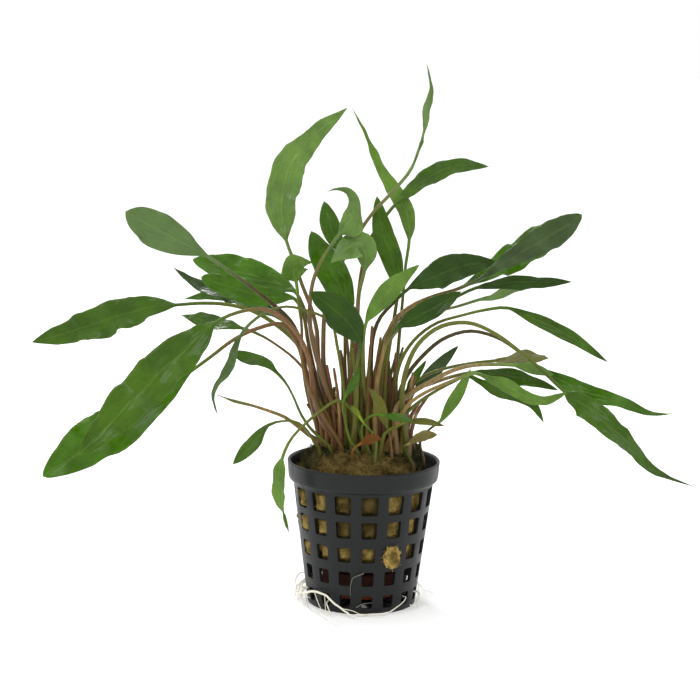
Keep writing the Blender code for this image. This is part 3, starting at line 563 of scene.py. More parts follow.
HOLE_ROWS = ((2.2, 6.9), (10.6, 15.9), (19.5, 24.9), (28.5, 34.6), (37.2, 44.0))
HOLE_SPREAD = (10.6, 14.0)               # degrees that a hole takes up, at the foot and at the top row
FIELD = (1.2, 44.9)                      # the part of the wall that is made of holes and ribs
SLOT = (7.0, 16.5)                       # a slot's ends, measured from the floor's middle
SLOT_FIELD = (6.2, 17.6)
HUB_HEIGHT = 3.4
COLUMN_TURN = math.radians(5.5)
SIDE_PLACES = (0.0, 0.05, 0.11, 0.2, 0.35, 0.5, 0.65, 0.8, 0.89, 0.95)

# How far outside the hole and how deep each ring of its rounded rim lies, in shares of the edge's rounding
RIM_RINGS = ((1.2, 0.0), (0.3, 0.1), (0.0, 0.5), (-0.1, 1.6))


class Strip:
    """One upright strip of the pot as points (angle, radius, height), before it is bent round."""

    def __init__(self, look):
        self.look = look
        self.pitch = 2 * math.pi / look.columns
        self.verts = []
        self.faces = []

    def wall_radius(self, z):
        """The wall's outer radius at a height."""
        look = self.look
        rise = look.height - look.band_height
        return look.foot_radius + (look.wall_top_radius - look.foot_radius) * z / rise

    def half_angle(self, z):
        """Half the angle that a hole takes up at a height."""
        low, high = HOLE_SPREAD
        return 0.5 * math.radians(low + (high - low) * climb(z, 0.0, HOLE_ROWS[-1][1] * MM))

    def add_rows(self, rows, closed=False):
        """Join rows of points, each the same length, by quads."""
        length = len(rows[0])
        for row in rows:
            self.verts += row
        first = len(self.verts) - len(rows) * length
        for low in range(first, len(self.verts) - length, length):
            for k in range(length if closed else length - 1):
                beside = (k + 1) % length
                self.faces.append((low + k, low + beside, low + length + beside, low + length + k))

    def outline(self, half_width, low, high, corner=0.0, grow=0.0):
        """Points around a box (across, along), with round corners, from its lower left corner."""
        middle = 0.5 * (low + high)
        half = 0.5 * (high - low)
        points = []
        for side in range(4):
            for f in SIDE_PLACES:
                s = 2 * f - 1
                x, y = ((s, -1), (1, s), (-s, 1), (-1, -s))[side]
                x, y = x * half_width, y * half
                if corner:
                    near = Vector((max(min(x, half_width - corner), corner - half_width),
                                   max(min(y, half - corner), corner - half)))
                    out = (Vector((x, y)) - near).normalized()
                    x, y = near + out * (corner + grow)
                points.append((x, middle + y))
        return points

    def add_hole(self, hole, field, upright):
        """A hole with rounded corners and rims through its field of the upright wall or of the floor."""
        look = self.look
        middle = 0.5 * (hole[0] + hole[1])
        if upright:
            thickness, half = look.wall, self.half_angle(middle) * self.wall_radius(middle)
        else:
            thickness, half = look.floor, self.half_angle(0.0) * middle

        def place(angle, along, depth):
            return (angle, self.wall_radius(along) - depth, along) if upright else (angle, along, depth)

        def border(depth):
            return [place(0.5 * x * self.pitch, y, depth) for x, y in self.outline(1.0, *field)]

        def ring(grow, depth):
            points = self.outline(half, *hole, look.corner, grow)
            return [place(x / half * self.half_angle(y if upright else 0.0), y, depth) for x, y in points]

        rims = [(across * look.edge, deep * look.edge) for across, deep in RIM_RINGS]
        rings = [ring(grow, depth) for grow, depth in rims]
        rings += [ring(grow, thickness - depth) for grow, depth in reversed(rims)]
        self.add_rows([border(0.0), *rings, border(thickness)], closed=True)

    def band(self, wall, base):
        """Section of the band: out from the wall, up, over the lip and down inside."""
        look = self.look
        rim, top = look.rim_radius, look.height
        shoulder = top - look.band_height
        out = [(wall, base), (wall + 0.0002, shoulder - 0.0001), (wall + 0.0009, shoulder + 0.0002),
               (rim - 0.0007, shoulder + 0.0007), (rim - 0.00045, shoulder + 0.0014),
               (rim - 0.0003, shoulder + 0.0028), (rim - 0.0001, top - 0.0016), (rim - 0.0001, top - 0.0012),
               (rim, top - 0.0009), (rim, top - 0.0003), (rim - 0.0002, top), (rim - 0.0006, top),
               (rim - 0.0010, top - 0.0003), (rim - 0.0012, top - 0.0009)]
        inside = [(rim - 0.0015, top - 0.003), (wall - 0.0002, shoulder + 0.001),
                  (wall - 0.9 * look.wall, shoulder), (wall - look.wall, base)]
        return out + inside

    def build(self):
        """Add the holes, then every plain stretch of the pot as rows across the strip."""
        look = self.look
        between = [0.5 * (row[1] + above[0]) for row, above in zip(HOLE_ROWS, HOLE_ROWS[1:])]
        bounds = [FIELD[0], *between, FIELD[1]]
        for row, field in zip(HOLE_ROWS, zip(bounds, bounds[1:])):
            self.add_hole(scaled(row), scaled(field), True)
        self.add_hole(scaled(SLOT), scaled(SLOT_FIELD), False)
        foot, top = scaled(FIELD)
        inner, outer = scaled(SLOT_FIELD)
        hub = HUB_HEIGHT * MM
        wall = self.wall_radius(foot)
        under = [(wall, foot), (wall - 0.0001, 0.0003), (wall - 0.0004, 0.0), (outer, 0.0)]
        middle = [(inner, 0.0), (0.5 * inner, 0.0), (0.0, 0.0)]
        dome = [(inner, look.floor), (0.9 * inner, 0.6 * hub), (0.75 * inner, 0.93 * hub), (0.5 * inner, hub),
                (0.0, hub)]
        corner = [(wall - look.wall, foot), (wall - look.wall, look.floor), (outer, look.floor)]
        for section in (self.band(self.wall_radius(top), top), under, middle, dome, corner):
            self.add_rows([[((f - 0.5) * self.pitch, radius, z) for f in (*SIDE_PLACES, 1.0)]
                           for radius, z in section])


def net_pot_tree():
    """Repeats a strip around the pot and bends it round."""
    tree, out, outlet = new_tree("net_pot_columns", ("Strip", GEOMETRY, None), ("Columns", WHOLE, 16),
                                 ("Turn", NUMBER, 0.0))
    pitch = calc(tree, "DIVIDE", 2 * math.pi, out["Columns"])
    step = put(tree, "ShaderNodeCombineXYZ", {"X": pitch}).outputs[0]
    line = put(tree, "GeometryNodeMeshLine", {"Count": out["Columns"], "Offset": step}, mode="OFFSET")
    strips = put(tree, "GeometryNodeInstanceOnPoints", {"Points": line.outputs[0], "Instance": out["Strip"]})
    real = put(tree, "GeometryNodeRealizeInstances", {"Geometry": strips.outputs[0]}).outputs[0]
    axes = axes_of(tree, put(tree, "GeometryNodeInputPosition").outputs[0])
    angle = plus(tree, axes["X"], out["Turn"])
    bent = put(tree, "ShaderNodeCombineXYZ", {
        "X": times(tree, axes["Y"], calc(tree, "COSINE", angle)),
        "Y": times(tree, axes["Y"], calc(tree, "SINE", angle)), "Z": axes["Z"]}).outputs[0]
    round_pot = put(tree, "GeometryNodeSetPosition", {"Geometry": real, "Position": bent}).outputs[0]
    joined = put(tree, "GeometryNodeMergeByDistance", {"Geometry": round_pot, "Distance": 0.00002}).outputs[0]
    return end_tree(tree, outlet, joined, out["Material"])


class PLANT_OT_net_pot(bpy.types.Operator):
    """Build the black net pot with its rounded holes, band, lip and slotted floor"""
    bl_idname = "plant.net_pot"
    bl_label = "Net Pot"

    def execute(self, context):
        look = settings("pot")
        strip = Strip(look)
        strip.build()
        pot = run_tree(add_mesh("pot_body", strip.verts, strip.faces), net_pot_tree(), columns=look.columns,
                       turn=-0.5 * math.pi + COLUMN_TURN, material=plastic_finish())
        face_outwards(pot)
        finish_piece(pot, "pot_plastic", "net_pot")
        return {"FINISHED"}


# What fills the pot

# Where the wool changes, in metres from the pot's middle and foot
HOLES_END = 0.046
WOOL_EDGE = (0.0475, 0.0495)             # heights over which its lumps grow
WOOL_TOP = 0.0505
REAR_RISE = (-0.009, -0.005)             # from front to back, where its top rises
RIGHT_RISE = (0.010, 0.016)              # from left to right, where it rises once more

# How the wool swells out through a hole
SWELL_REACH = 0.0023                     # half the swelling's width
SWELL_SLOPE = 0.0009                     # how far in from its edge it is full
SWELL_COLUMN = -3.2                      # where it is most, in columns from the front one

TUFT_PLACE = Vector((0.0106, -0.0202, 0.0216))
TUFT_SIZE = Vector((0.0029, 0.0017, 0.0034))
TUFT_FIBRES = 330
LONG_FIBRE = 0.0031
SHORT_FIBRE = 0.0019


def fibre_tree():
    """Scatters short bent fibres over a surface."""
    tree, out, outlet = new_tree(
        "wool_fibres", ("Surface", GEOMETRY, None), ("Density", NUMBER, 500000.0), ("Length", NUMBER, 0.004),
        ("Radius", NUMBER, 0.00005), ("Seed", WHOLE, SEED))
    points = put(tree, "GeometryNodeDistributePointsOnFaces", {
        "Mesh": out["Surface"], "Density": out["Density"], "Seed": out["Seed"]}, distribute_method="RANDOM")
    arc = put(tree, "GeometryNodeCurveQuadraticBezier", {
        "Resolution": 4, "Start": (0.0, 0.0, -0.05), "Middle": (0.1, 0.0, 0.55), "End": (0.75, 0.1, 0.35)})
    ring = put(tree, "GeometryNodeCurvePrimitiveCircle", {"Resolution": 3, "Radius": out["Radius"]})
    turn = put(tree, "FunctionNodeRandomValue", {0: (-0.9, -0.9, 0.0), 1: (0.9, 0.9, 6.283), "Seed": 3},
               data_type="FLOAT_VECTOR").outputs[0]
    stretch = put(tree, "FunctionNodeRandomValue", {2: 0.35, 3: 1.0, "Seed": 5}, data_type="FLOAT").outputs[1]
    curves = put(tree, "GeometryNodeInstanceOnPoints", {
        "Points": points.outputs["Points"], "Instance": arc.outputs[0],
        "Rotation": points.outputs["Rotation"], "Scale": times(tree, stretch, out["Length"])})
    turned = put(tree, "GeometryNodeRotateInstances", {"Instances": curves.outputs[0], "Rotation": turn})
    real = put(tree, "GeometryNodeRealizeInstances", {"Geometry": turned.outputs[0]})
    tubes = put(tree, "GeometryNodeCurveToMesh", {
        "Curve": real.outputs[0], "Profile Curve": ring.outputs[0], "Fill Caps": True})
    return end_tree(tree, outlet, tubes.outputs[0], out["Material"], smooth=False)


def swell(place):
    """How far the wool at a place swells out through a hole, from 0 to about 1.6."""
    angle = math.atan2(place.y, place.x) + 0.5 * math.pi - COLUMN_TURN
    pitch = 2 * math.pi / settings("pot").columns
    column = round(angle / pitch)
    across = abs(angle - column * pitch) * math.hypot(place.x, place.y)
    for row, (low, high) in enumerate(HOLE_ROWS[2:]):
        middle, half = 0.5 * (low + high) * MM, 0.5 * (high - low) * MM
        room = min(SWELL_REACH - across, half - abs(place.z - middle))
        if room > 0:
            whim = noise.noise(Vector((column * 1.7, row * 2.3, 4.1)))
            left = math.exp(-((column - SWELL_COLUMN) / 1.5) ** 2)
            return min(room / SWELL_SLOPE, 1.0) * max(0.45 + 0.9 * whim + 0.9 * left, 0.0)
    return 0.0


def wool_mesh(name):
    """The wool plug's own surface: its solid, re-meshed finely, rounded and made lumpy."""
    look = settings("fill")
    mesh = frame["nodes"]["rockwool_plug"].data.copy()
    with opened(mesh) as bm:
        bmesh.ops.remove_doubles(bm, verts=bm.verts, dist=MERGE)
    rough = add_object(name, mesh)
    cells = rough.modifiers.new("cells", "REMESH")
    cells.mode = "VOXEL"
    cells.voxel_size = look.voxel
    rough.modifiers.new("rounding", "SMOOTH").iterations = 10
    wool = applied(rough)
    normals = [v.normal.copy() for v in wool.data.vertices]
    for vertex, normal in zip(wool.data.vertices, normals):
        place = vertex.co
        big = noise.fractal(place * 260.0, 0.9, 2.1, 4)
        tufts = noise.fractal(Vector((place.x, place.y, place.z * 0.5)) * 1100.0, 0.8, 2.2, 3)
        bulge = look.bulge * swell(place) if place.z < HOLES_END else 0.0
        if place.z > WOOL_TOP and normal.z > 0.3:
            rear = climb(place.y, *REAR_RISE)
            rise = 0.0011 * rear * (1.2 + big) + 0.0022 * climb(place.x, *RIGHT_RISE) * rear
            place = place + Vector((0.0, 0.0, rise))
        depth = look.lump * (1.0 + 0.9 * climb(place.z, *WOOL_EDGE))
        vertex.co = place + normal * (depth * (0.55 * big + 0.35 * tufts - 0.15) + bulge)
    return wool


def tuft_mesh(name):
    """A frayed lump of wool that pokes out through one hole."""
    mesh = bpy.data.meshes.new(name)
    turn = Matrix.Rotation(math.atan2(TUFT_PLACE.y, TUFT_PLACE.x) + 0.5 * math.pi, 3, "Z")
    with opened(mesh) as bm:
        bmesh.ops.create_icosphere(bm, subdivisions=5, radius=1.0)
        for vertex in bm.verts:
            way = vertex.co.normalized()
            rough = (1.0 + 0.30 * noise.fractal(way * 1.6, 0.9, 2.0, 3)
                     + 0.16 * noise.fractal(way * 6.0, 0.7, 2.1, 4))
            vertex.co = TUFT_PLACE + turn @ (way * TUFT_SIZE * rough)
    return add_object(name, mesh)


def add_fibres(name, mesh, keep, amount, length, material, seed):
    """Scatter fibres over the faces of a mesh whose middles pass a test."""
    bare = mesh.copy()
    with opened(bare) as bm:
        bmesh.ops.delete(bm, geom=[f for f in bm.faces if not keep(f.calc_center_median())], context="FACES")
        area = sum(f.calc_area() for f in bm.faces)
    fibres = run_tree(add_object(name, bare), fibre_tree(), density=amount / area, length=length,
                      radius=settings("fill").fibre_radius, seed=seed, material=material)
    finish_piece(fibres, "mineral_wool")


class PLANT_OT_wool(bpy.types.Operator):
    """Build the mineral wool plug, the tuft in one hole and the loose fibres on both"""
    bl_idname = "plant.wool"
    bl_label = "Mineral Wool"

    def execute(self, context):
        look = settings("fill")
        wool, tuft = wool_mesh("wool_plug"), tuft_mesh("wool_tuft")
        for piece, finish, nodes in ((wool, wool_finish(), ["rockwool_plug"]),
                                     (tuft, wool_finish("tuft_wool", 1.5), [])):
            piece.data.materials.clear()
            piece.data.materials.append(finish)
            face_outwards(piece)
            finish_piece(piece, "mineral_wool", *nodes)
        loose = wool_finish("wool_fibre", 1.3)
        add_fibres("wool_fibres", wool.data, lambda p: p.z > HOLES_END, look.fibres, LONG_FIBRE, loose, SEED)
        add_fibres("hole_fibres", wool.data, lambda p: 0.018 < p.z < 0.044, look.fibres // 2, SHORT_FIBRE,
                   loose, SEED + 2)
        add_fibres("tuft_fibres", tuft.data, lambda p: p.y < TUFT_PLACE.y + 0.0010, TUFT_FIBRES, SHORT_FIBRE,
                   wool_finish("tuft_fibre", 1.9), SEED + 1)
        return {"FINISHED"}


CLAY_BORE = 0.0085
CLAY_EDGE = 0.0009
CLAY_GRIT = 0.012
CLAY_SIDES = 96


class PLANT_OT_clay_ring(bpy.types.Operator):
    """Build the gritty fired clay ring under the wool"""
    bl_idname = "plant.clay_ring"
    bl_label = "Clay Ring"

    def execute(self, context):
        low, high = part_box("clay_ring")
        section = []
        corners = (high.x, high.z), (CLAY_BORE, high.z), (CLAY_BORE, low.z), (high.x, low.z)
        for corner, (x, z) in enumerate(corners):
            middle_x = x - CLAY_EDGE if x == high.x else x + CLAY_EDGE
            middle_z = z - CLAY_EDGE if z == high.z else z + CLAY_EDGE
            for step in range(4):
                turn = math.radians(90 * corner + 30 * step)
                section.append((middle_x + CLAY_EDGE * math.cos(turn), middle_z + CLAY_EDGE * math.sin(turn)))
        verts, faces = [], []
        length = len(section)
        for k in range(CLAY_SIDES):
            angle = 2 * math.pi * k / CLAY_SIDES
            for x, z in section:
                place = Vector((x * math.cos(angle), x * math.sin(angle), z))
                grit = 1.0 + CLAY_GRIT * noise.noise(place * 700.0)
                verts.append((place.x * grit, place.y * grit, place.z))
            for j in range(length):
                beyond, beside = (k + 1) % CLAY_SIDES * length, (j + 1) % length
                faces.append((k * length + j, beyond + j, beyond + beside, k * length + beside))
        ring = add_mesh("clay_weight", verts, faces, clay_finish())
        face_outwards(ring)
        finish_piece(ring, "fired_clay", "clay_ring")
        return {"FINISHED"}


# Roots: radii and routes in millimetres

ROOT_THINNING = {"root_front": 0.7, "root_branch": 0.75, "root_loop": 0.8}
ROOTS = {
    "root_main": (0.55, [(-17.6, -1.7, 5.0), (-20.9, -2.2, 4.4), (-21.9, -5.2, 3.4), (-20.4, -9.6, 4.9),
                         (-16.8, -14.4, 6.9), (-13.5, -17.6, 6.7), (-10.4, -19.7, 4.8),
                         (-7.5, -21.3, 2.9), (-4.6, -23.2, 1.4), (-2.7, -25.8, 0.9)]),
    "root_branch": (0.4, [(-11.4, -13.8, 3.8), (-12.3, -17.4, 3.6), (-11.6, -19.4, 1.8),
                          (-10.6, -21.2, 0.8)]),
    "root_front": (0.4, [(-2.0, -22.8, 0.8), (3.0, -21.7, 0.8), (9.2, -19.9, 0.9), (12.2, -18.4, 2.4),
                         (15.2, -16.0, 4.2), (15.9, -13.4, 4.8), (14.2, -11.6, 5.0)]),
    "root_loop": (0.4, [(17.4, -5.3, 5.0), (20.6, -6.4, 4.8), (20.6, -9.0, 2.4), (18.9, -12.2, 1.5),
                        (17.5, -14.2, 2.4)]),
    "root_inner": (0.5, [(-10.6, -12.6, 14.2), (-11.1, -12.5, 10.5), (-10.2, -13.3, 5.0)]),
}

WALL_ROOTS = [
    [(0.6, -21.2, 16.0), (0.2, -22.3, 15.8), (-2.8, -21.9, 14.4), (-3.6, -21.5, 13.0), (-4.0, -21.0, 10.1),
     (-3.9, -20.6, 7.1)],
    [(-1.8, -20.4, 2.9), (0.5, -20.7, 4.3), (2.9, -20.4, 4.6), (4.4, -18.9, 4.4)],
]
TANGLE = 7                # the first of the fine roots form the thicker tangle at the left
HAIRS = [
    [(-18.0, 3.0, 6.0), (-22.3, 6.0, 3.5), (-23.0, 1.5, 1.5), (-23.1, -3.8, 0.5)],
    [(-18.2, 5.0, 8.0), (-22.0, 5.0, 8.5), (-24.0, 3.0, 6.5), (-23.6, 1.0, 3.0), (-24.8, -2.0, 0.5)],
    [(-17.5, 3.5, 5.5), (-21.6, 2.5, 5.6), (-23.8, -1.0, 4.2), (-22.2, -4.6, 2.2), (-24.0, -3.8, 0.5)],
    [(-17.7, -1.0, 8.6), (-20.6, -2.2, 8.2), (-21.6, -3.6, 6.0), (-20.2, -5.4, 3.0), (-18.5, -8.5, 2.6)],
    [(-17.4, -5.5, 6.2), (-20.9, -6.4, 5.4), (-21.4, -8.0, 2.0), (-19.6, -11.5, 0.5)],
    [(-21.9, -5.2, 3.2), (-22.6, -2.0, 5.2), (-21.4, 1.0, 6.6), (-17.8, 1.6, 6.2)],
    [(-20.2, -0.5, 4.8), (-22.9, 0.5, 3.9), (-24.6, 2.5, 1.6), (-26.6, 2.0, 0.5)],
    [(-20.0, -2.9, 1.2), (-19.3, -10.0, 0.5), (-17.5, -17.3, 0.5), (-14.7, -22.3, 0.5), (-12.3, -28.4, 0.5),
     (-9.9, -33.4, 0.5), (-7.0, -36.1, 0.5)],
    [(-16.9, -14.0, 6.6), (-15.2, -17.6, 3.0), (-13.0, -21.4, 0.5), (-9.0, -24.5, 0.5)],
    [(-13.2, -16.6, 6.2), (-12.9, -17.9, 4.0), (-12.6, -18.9, 1.2), (-11.0, -21.5, 0.5)],
    [(-7.4, -20.8, 2.6), (-3.0, -22.0, 2.0), (0.4, -22.4, 0.7), (5.0, -23.8, 0.5), (8.6, -23.2, 0.5)],
    [(19.0, -4.8, 9.4), (20.4, -5.8, 8.8), (20.5, -6.6, 4.4), (19.9, -7.8, 1.0), (21.0, -9.0, 0.5)],
    [(20.8, -8.2, 2.2), (22.4, -6.8, 1.0), (24.6, -7.2, 0.5)],
    [(18.9, 6.0, 6.0), (21.3, 8.1, 4.0), (23.4, 11.9, 0.6), (25.2, 10.7, 0.5), (26.9, 6.8, 0.5)],
    [(-15.8, 14.0, 5.0), (-18.4, 15.6, 4.0), (-19.0, 12.0, 0.6), (-22.0, 10.0, 0.5)],
    [(8.0, 18.6, 5.4), (7.0, 21.0, 4.4), (2.0, 21.4, 0.6), (-3.0, 23.0, 0.5)],
]


def root_tree():
    """Turns routes into wavering round roots that thin towards their ends."""
    tree, out, outlet = new_tree(
        "root_tube", ("Route", GEOMETRY, None), ("Radius", NUMBER, 0.0005), ("Waver", NUMBER, 0.0005),
        ("Taper", NUMBER, 0.4), ("Spacing", NUMBER, 0.0005), ("Sides", WHOLE, 10))
    curve = put(tree, "GeometryNodeMeshToCurve", {"Mesh": out["Route"]}).outputs[0]
    smooth = put(tree, "GeometryNodeCurveSplineType", {"Curve": curve}, spline_type="CATMULL_ROM").outputs[0]
    even = put(tree, "GeometryNodeResampleCurve", {"Curve": smooth, "Length": out["Spacing"]}, mode="LENGTH")
    place = put(tree, "GeometryNodeInputPosition").outputs[0]
    sway = speckle(tree, place, 380.0, detail=2.0, roughness=0.5, result="Color")
    centred = vector_calc(tree, "SUBTRACT", sway, (0.5, 0.5, 0.5))
    moved = put(tree, "GeometryNodeSetPosition", {
        "Geometry": even.outputs[0], "Offset": multiplied(tree, centred, out["Waver"])}).outputs[0]
    along = put(tree, "GeometryNodeSplineParameter").outputs["Factor"]
    knots = speckle(tree, place, 700.0, detail=1.0, roughness=0.5)
    thin = less(tree, 1.0, times(tree, along, out["Taper"]))
    uneven = times(tree, thin, plus(tree, 0.75, times(tree, knots, 0.5)))
    sized = put(tree, "GeometryNodeSetCurveRadius", {"Curve": moved, "Radius": uneven}).outputs[0]
    ring = put(tree, "GeometryNodeCurvePrimitiveCircle", {
        "Resolution": out["Sides"], "Radius": out["Radius"]})
    tubes = put(tree, "GeometryNodeCurveToMesh", {
        "Curve": sized, "Profile Curve": ring.outputs[0], "Scale": uneven, "Fill Caps": True})
    return end_tree(tree, outlet, tubes.outputs[0], out["Material"])


def add_tubes(name, routes, slot, nodes=(), **inputs):
    """Tubes along routes in millimetres, as one finished piece."""
    verts, edges = [], []
    for route in routes:
        start = len(verts)
        verts += [scaled(point) for point in route]
        edges += [(start + k, start + k + 1) for k in range(len(route) - 1)]
    mesh = bpy.data.meshes.new(name)
    mesh.from_pydata(verts, edges, [])
    tree = bpy.data.node_groups.get("root_tube") or root_tree()
    tubes = run_tree(add_object(name, mesh), tree, **inputs)
    face_outwards(tubes)
    finish_piece(tubes, slot, *nodes)


class PLANT_OT_roots(bpy.types.Operator):
    """Build the white roots, the root hairs and the grey roots on the wall"""
    bl_idname = "plant.roots"
    bl_label = "Roots"

    def execute(self, context):
        look = settings("roots")
        white, grey = root_finish(), root_finish("wet_root", 0.13)
        for node, (radius, route) in ROOTS.items():
            radius *= MM * ROOT_THINNING.get(node, 1.0)
            add_tubes(node + "_grown", [route], "root", [node], radius=radius, waver=look.bend, taper=0.45,
                      spacing=0.0005, sides=10, material=white)
        for name, routes, thickness, finish in (("root_tangle", HAIRS[:TANGLE], 1.6, white),
                                                ("root_hairs", HAIRS[TANGLE:], 1.0, white),
                                                ("wall_roots", WALL_ROOTS, 1.5, grey)):
            add_tubes(name, routes, "root", radius=thickness * look.hair_radius, waver=0.4 * look.bend,
                      taper=0.6, spacing=0.0004, sides=6, material=finish)
        return {"FINISHED"}


# Leaves

EYE = np.array((0.0, -0.975, 0.22))              # from the plant towards the camera
UNDERSIDE_SHOWN = ("leaf_broad_upper_left",)
CUT_STALK = "cut_stalk"
STALK_LEAST = 0.00115                            # a section thinner than this belongs to the blade
STALK_ROW = 0.0028
ROOTED = 0.004                                   # how far a stalk goes on into the wool
TIP_THICKNESS = 0.0003
RIB_WIDTH = 0.0006
BROAD = 0.0038                                   # half the width above which a leaf counts as broad
HALF_PLACES = (0.0, 0.05, 0.12, 0.22, 0.36, 0.52, 0.68, 0.82, 0.93, 1.0)
PLACES = tuple(-x for x in reversed(HALF_PLACES[1:])) + HALF_PLACES

Stations = namedtuple("Stations", "centre side up half lift_left lift_right thick")


def corner_rings(node):
    """The sections of a leaf's solid, foot first: corners left, upper, right, under, and last the tip."""
    bm = bmesh.new()
    bm.from_mesh(frame["nodes"][node].data)
    bmesh.ops.remove_doubles(bm, verts=bm.verts, dist=MERGE)
    bm.verts.index_update()
    layers = []
    for tip in bm.verts:
        layers, seen = [{tip}], {tip}
        while layers[-1]:
            ahead = {edge.other_vert(v) for v in layers[-1] for edge in v.link_edges} - seen
            seen |= ahead
            layers.append(ahead)
        layers.pop()
        if len(layers) > 2 and all(len(layer) == 4 for layer in layers[1:]):
            break
    else:
        raise RuntimeError(f"{node} has no tip with sections of four corners behind it")
    layers.reverse()
    centres = [sum((v.co for v in layer), Vector()) / len(layer) for layer in layers]
    rings = []
    for k, layer in enumerate(layers[:-1]):
        along = centres[k + 1] - centres[max(k - 1, 0)]
        beside = {v: [e.other_vert(v) for e in v.link_edges if e.other_vert(v) in layer] for v in layer}
        first = min((v for v in layer if len(beside[v]) == 2), key=lambda v: v.index)
        second, last = beside[first]
        third = next(v for v in layer if v not in (first, second, last))
        ring = [np.array(v.co) for v in (first, second, third, last)]
        area = sum((Vector(a).cross(Vector(b)) for a, b in zip(ring, ring[1:] + ring[:1])), Vector())
        if area.dot(along) < 0:
            ring = [ring[0], ring[3], ring[2], ring[1]]
        rings.append(ring)
    point = np.array(next(iter(layers[-1])).co)
    bm.free()
    return line_up(node, rings), point


def direction(ring):
    """Unit vectors from right to left and from under to upper."""
    side, up = ring[0] - ring[2], ring[1] - ring[3]
    return side / np.linalg.norm(side), up / np.linalg.norm(up)


def turned_ring(ring, quarter):
    """A section that starts a quarter, a half or three quarters further on."""
    return ring[quarter:] + ring[:quarter]


def line_up(node, rings):
    """Turn each section so that all start with the left corner and the upper side faces as grown."""
    spans = [max(np.linalg.norm(r[0] - r[2]), np.linalg.norm(r[1] - r[3])) for r in rings]
    widest = int(np.argmax(spans))
    ring = rings[widest]
    if np.linalg.norm(ring[0] - ring[2]) < np.linalg.norm(ring[1] - ring[3]):
        rings[widest] = turned_ring(ring, 1)
    orders = (range(widest + 1, len(rings)), -1), (range(widest - 1, -1, -1), 1)
    for numbers, back in orders:
        for k in numbers:
            side, up = direction(rings[k + back])
            choices = [turned_ring(rings[k], quarter) for quarter in range(4)]
            rings[k] = max(choices, key=lambda r: direction(r)[0] @ side + direction(r)[1] @ up)
    faces_eye = direction(rings[0])[1] @ EYE > 0
    if faces_eye == (node in UNDERSIDE_SHOWN):
        rings = [turned_ring(ring, 2) for ring in rings]
    return rings


def leaf_stations(node):
    """A leaf solid as stations from below its foot to its tip."""
    rings, point = corner_rings(node)
    rows = []
    for left, upper, right, under in rings:
        centre = 0.5 * (upper + under)
        side = (left - right) / np.linalg.norm(left - right)
        up = upper - under
        thick = np.linalg.norm(up)
        up = up - side * (up @ side)
        up /= np.linalg.norm(up)
        rows.append((centre, side, up, 0.5 * (left - right) @ side, (left - centre) @ up,
                     (right - centre) @ up, thick))
    foot = rows[0]
    below = (foot[0] - np.array((0.0, 0.0, ROOTED)), *foot[1:])
    tip = (point, rows[-1][1], rows[-1][2], 0.0, 0.0, 0.0, TIP_THICKNESS)
    return Stations(*[np.array(column, dtype=float) for column in zip(below, *rows, tip)])


def smooth_between(places, values, wanted):
    """Values at wanted places on a smooth curve through values at known places."""
    values = values.reshape(len(places), -1)
    slopes = np.gradient(values, places, axis=0)
    k = np.clip(np.searchsorted(places, wanted, side="right") - 1, 0, len(places) - 2)
    step = (places[k + 1] - places[k])[:, None]
    t = ((wanted - places[k]) / step[:, 0])[:, None]
    curve = ((2 * t ** 3 - 3 * t ** 2 + 1) * values[k] + (t ** 3 - 2 * t ** 2 + t) * step * slopes[k]
             + (-2 * t ** 3 + 3 * t ** 2) * values[k + 1] + (t ** 3 - t ** 2) * step * slopes[k + 1])
    return curve


def unit_rows(vectors):
    """Each row brought to length 1."""
    return vectors / np.linalg.norm(vectors, axis=1)[:, None]


# What a leaf has of its own. stem and blade name its tints. stalk, width and waver multiply the stalk's
# thickness, the blade's width and its outline's unevenness. fullness carries the width outwards to the tip.
# left and right widen one side of the blade around the place left_at or right_at.
Form = namedtuple("Form", "stem blade stalk width fullness waver left left_at right right_at",
                  defaults=(None, None, 0.92, 1.0, 0.12, 1.0, 1.0, 0.3, 1.0, 0.3))
Rows = namedtuple("Rows", "centre side up half thick lift_left lift_right left right flat run place along")


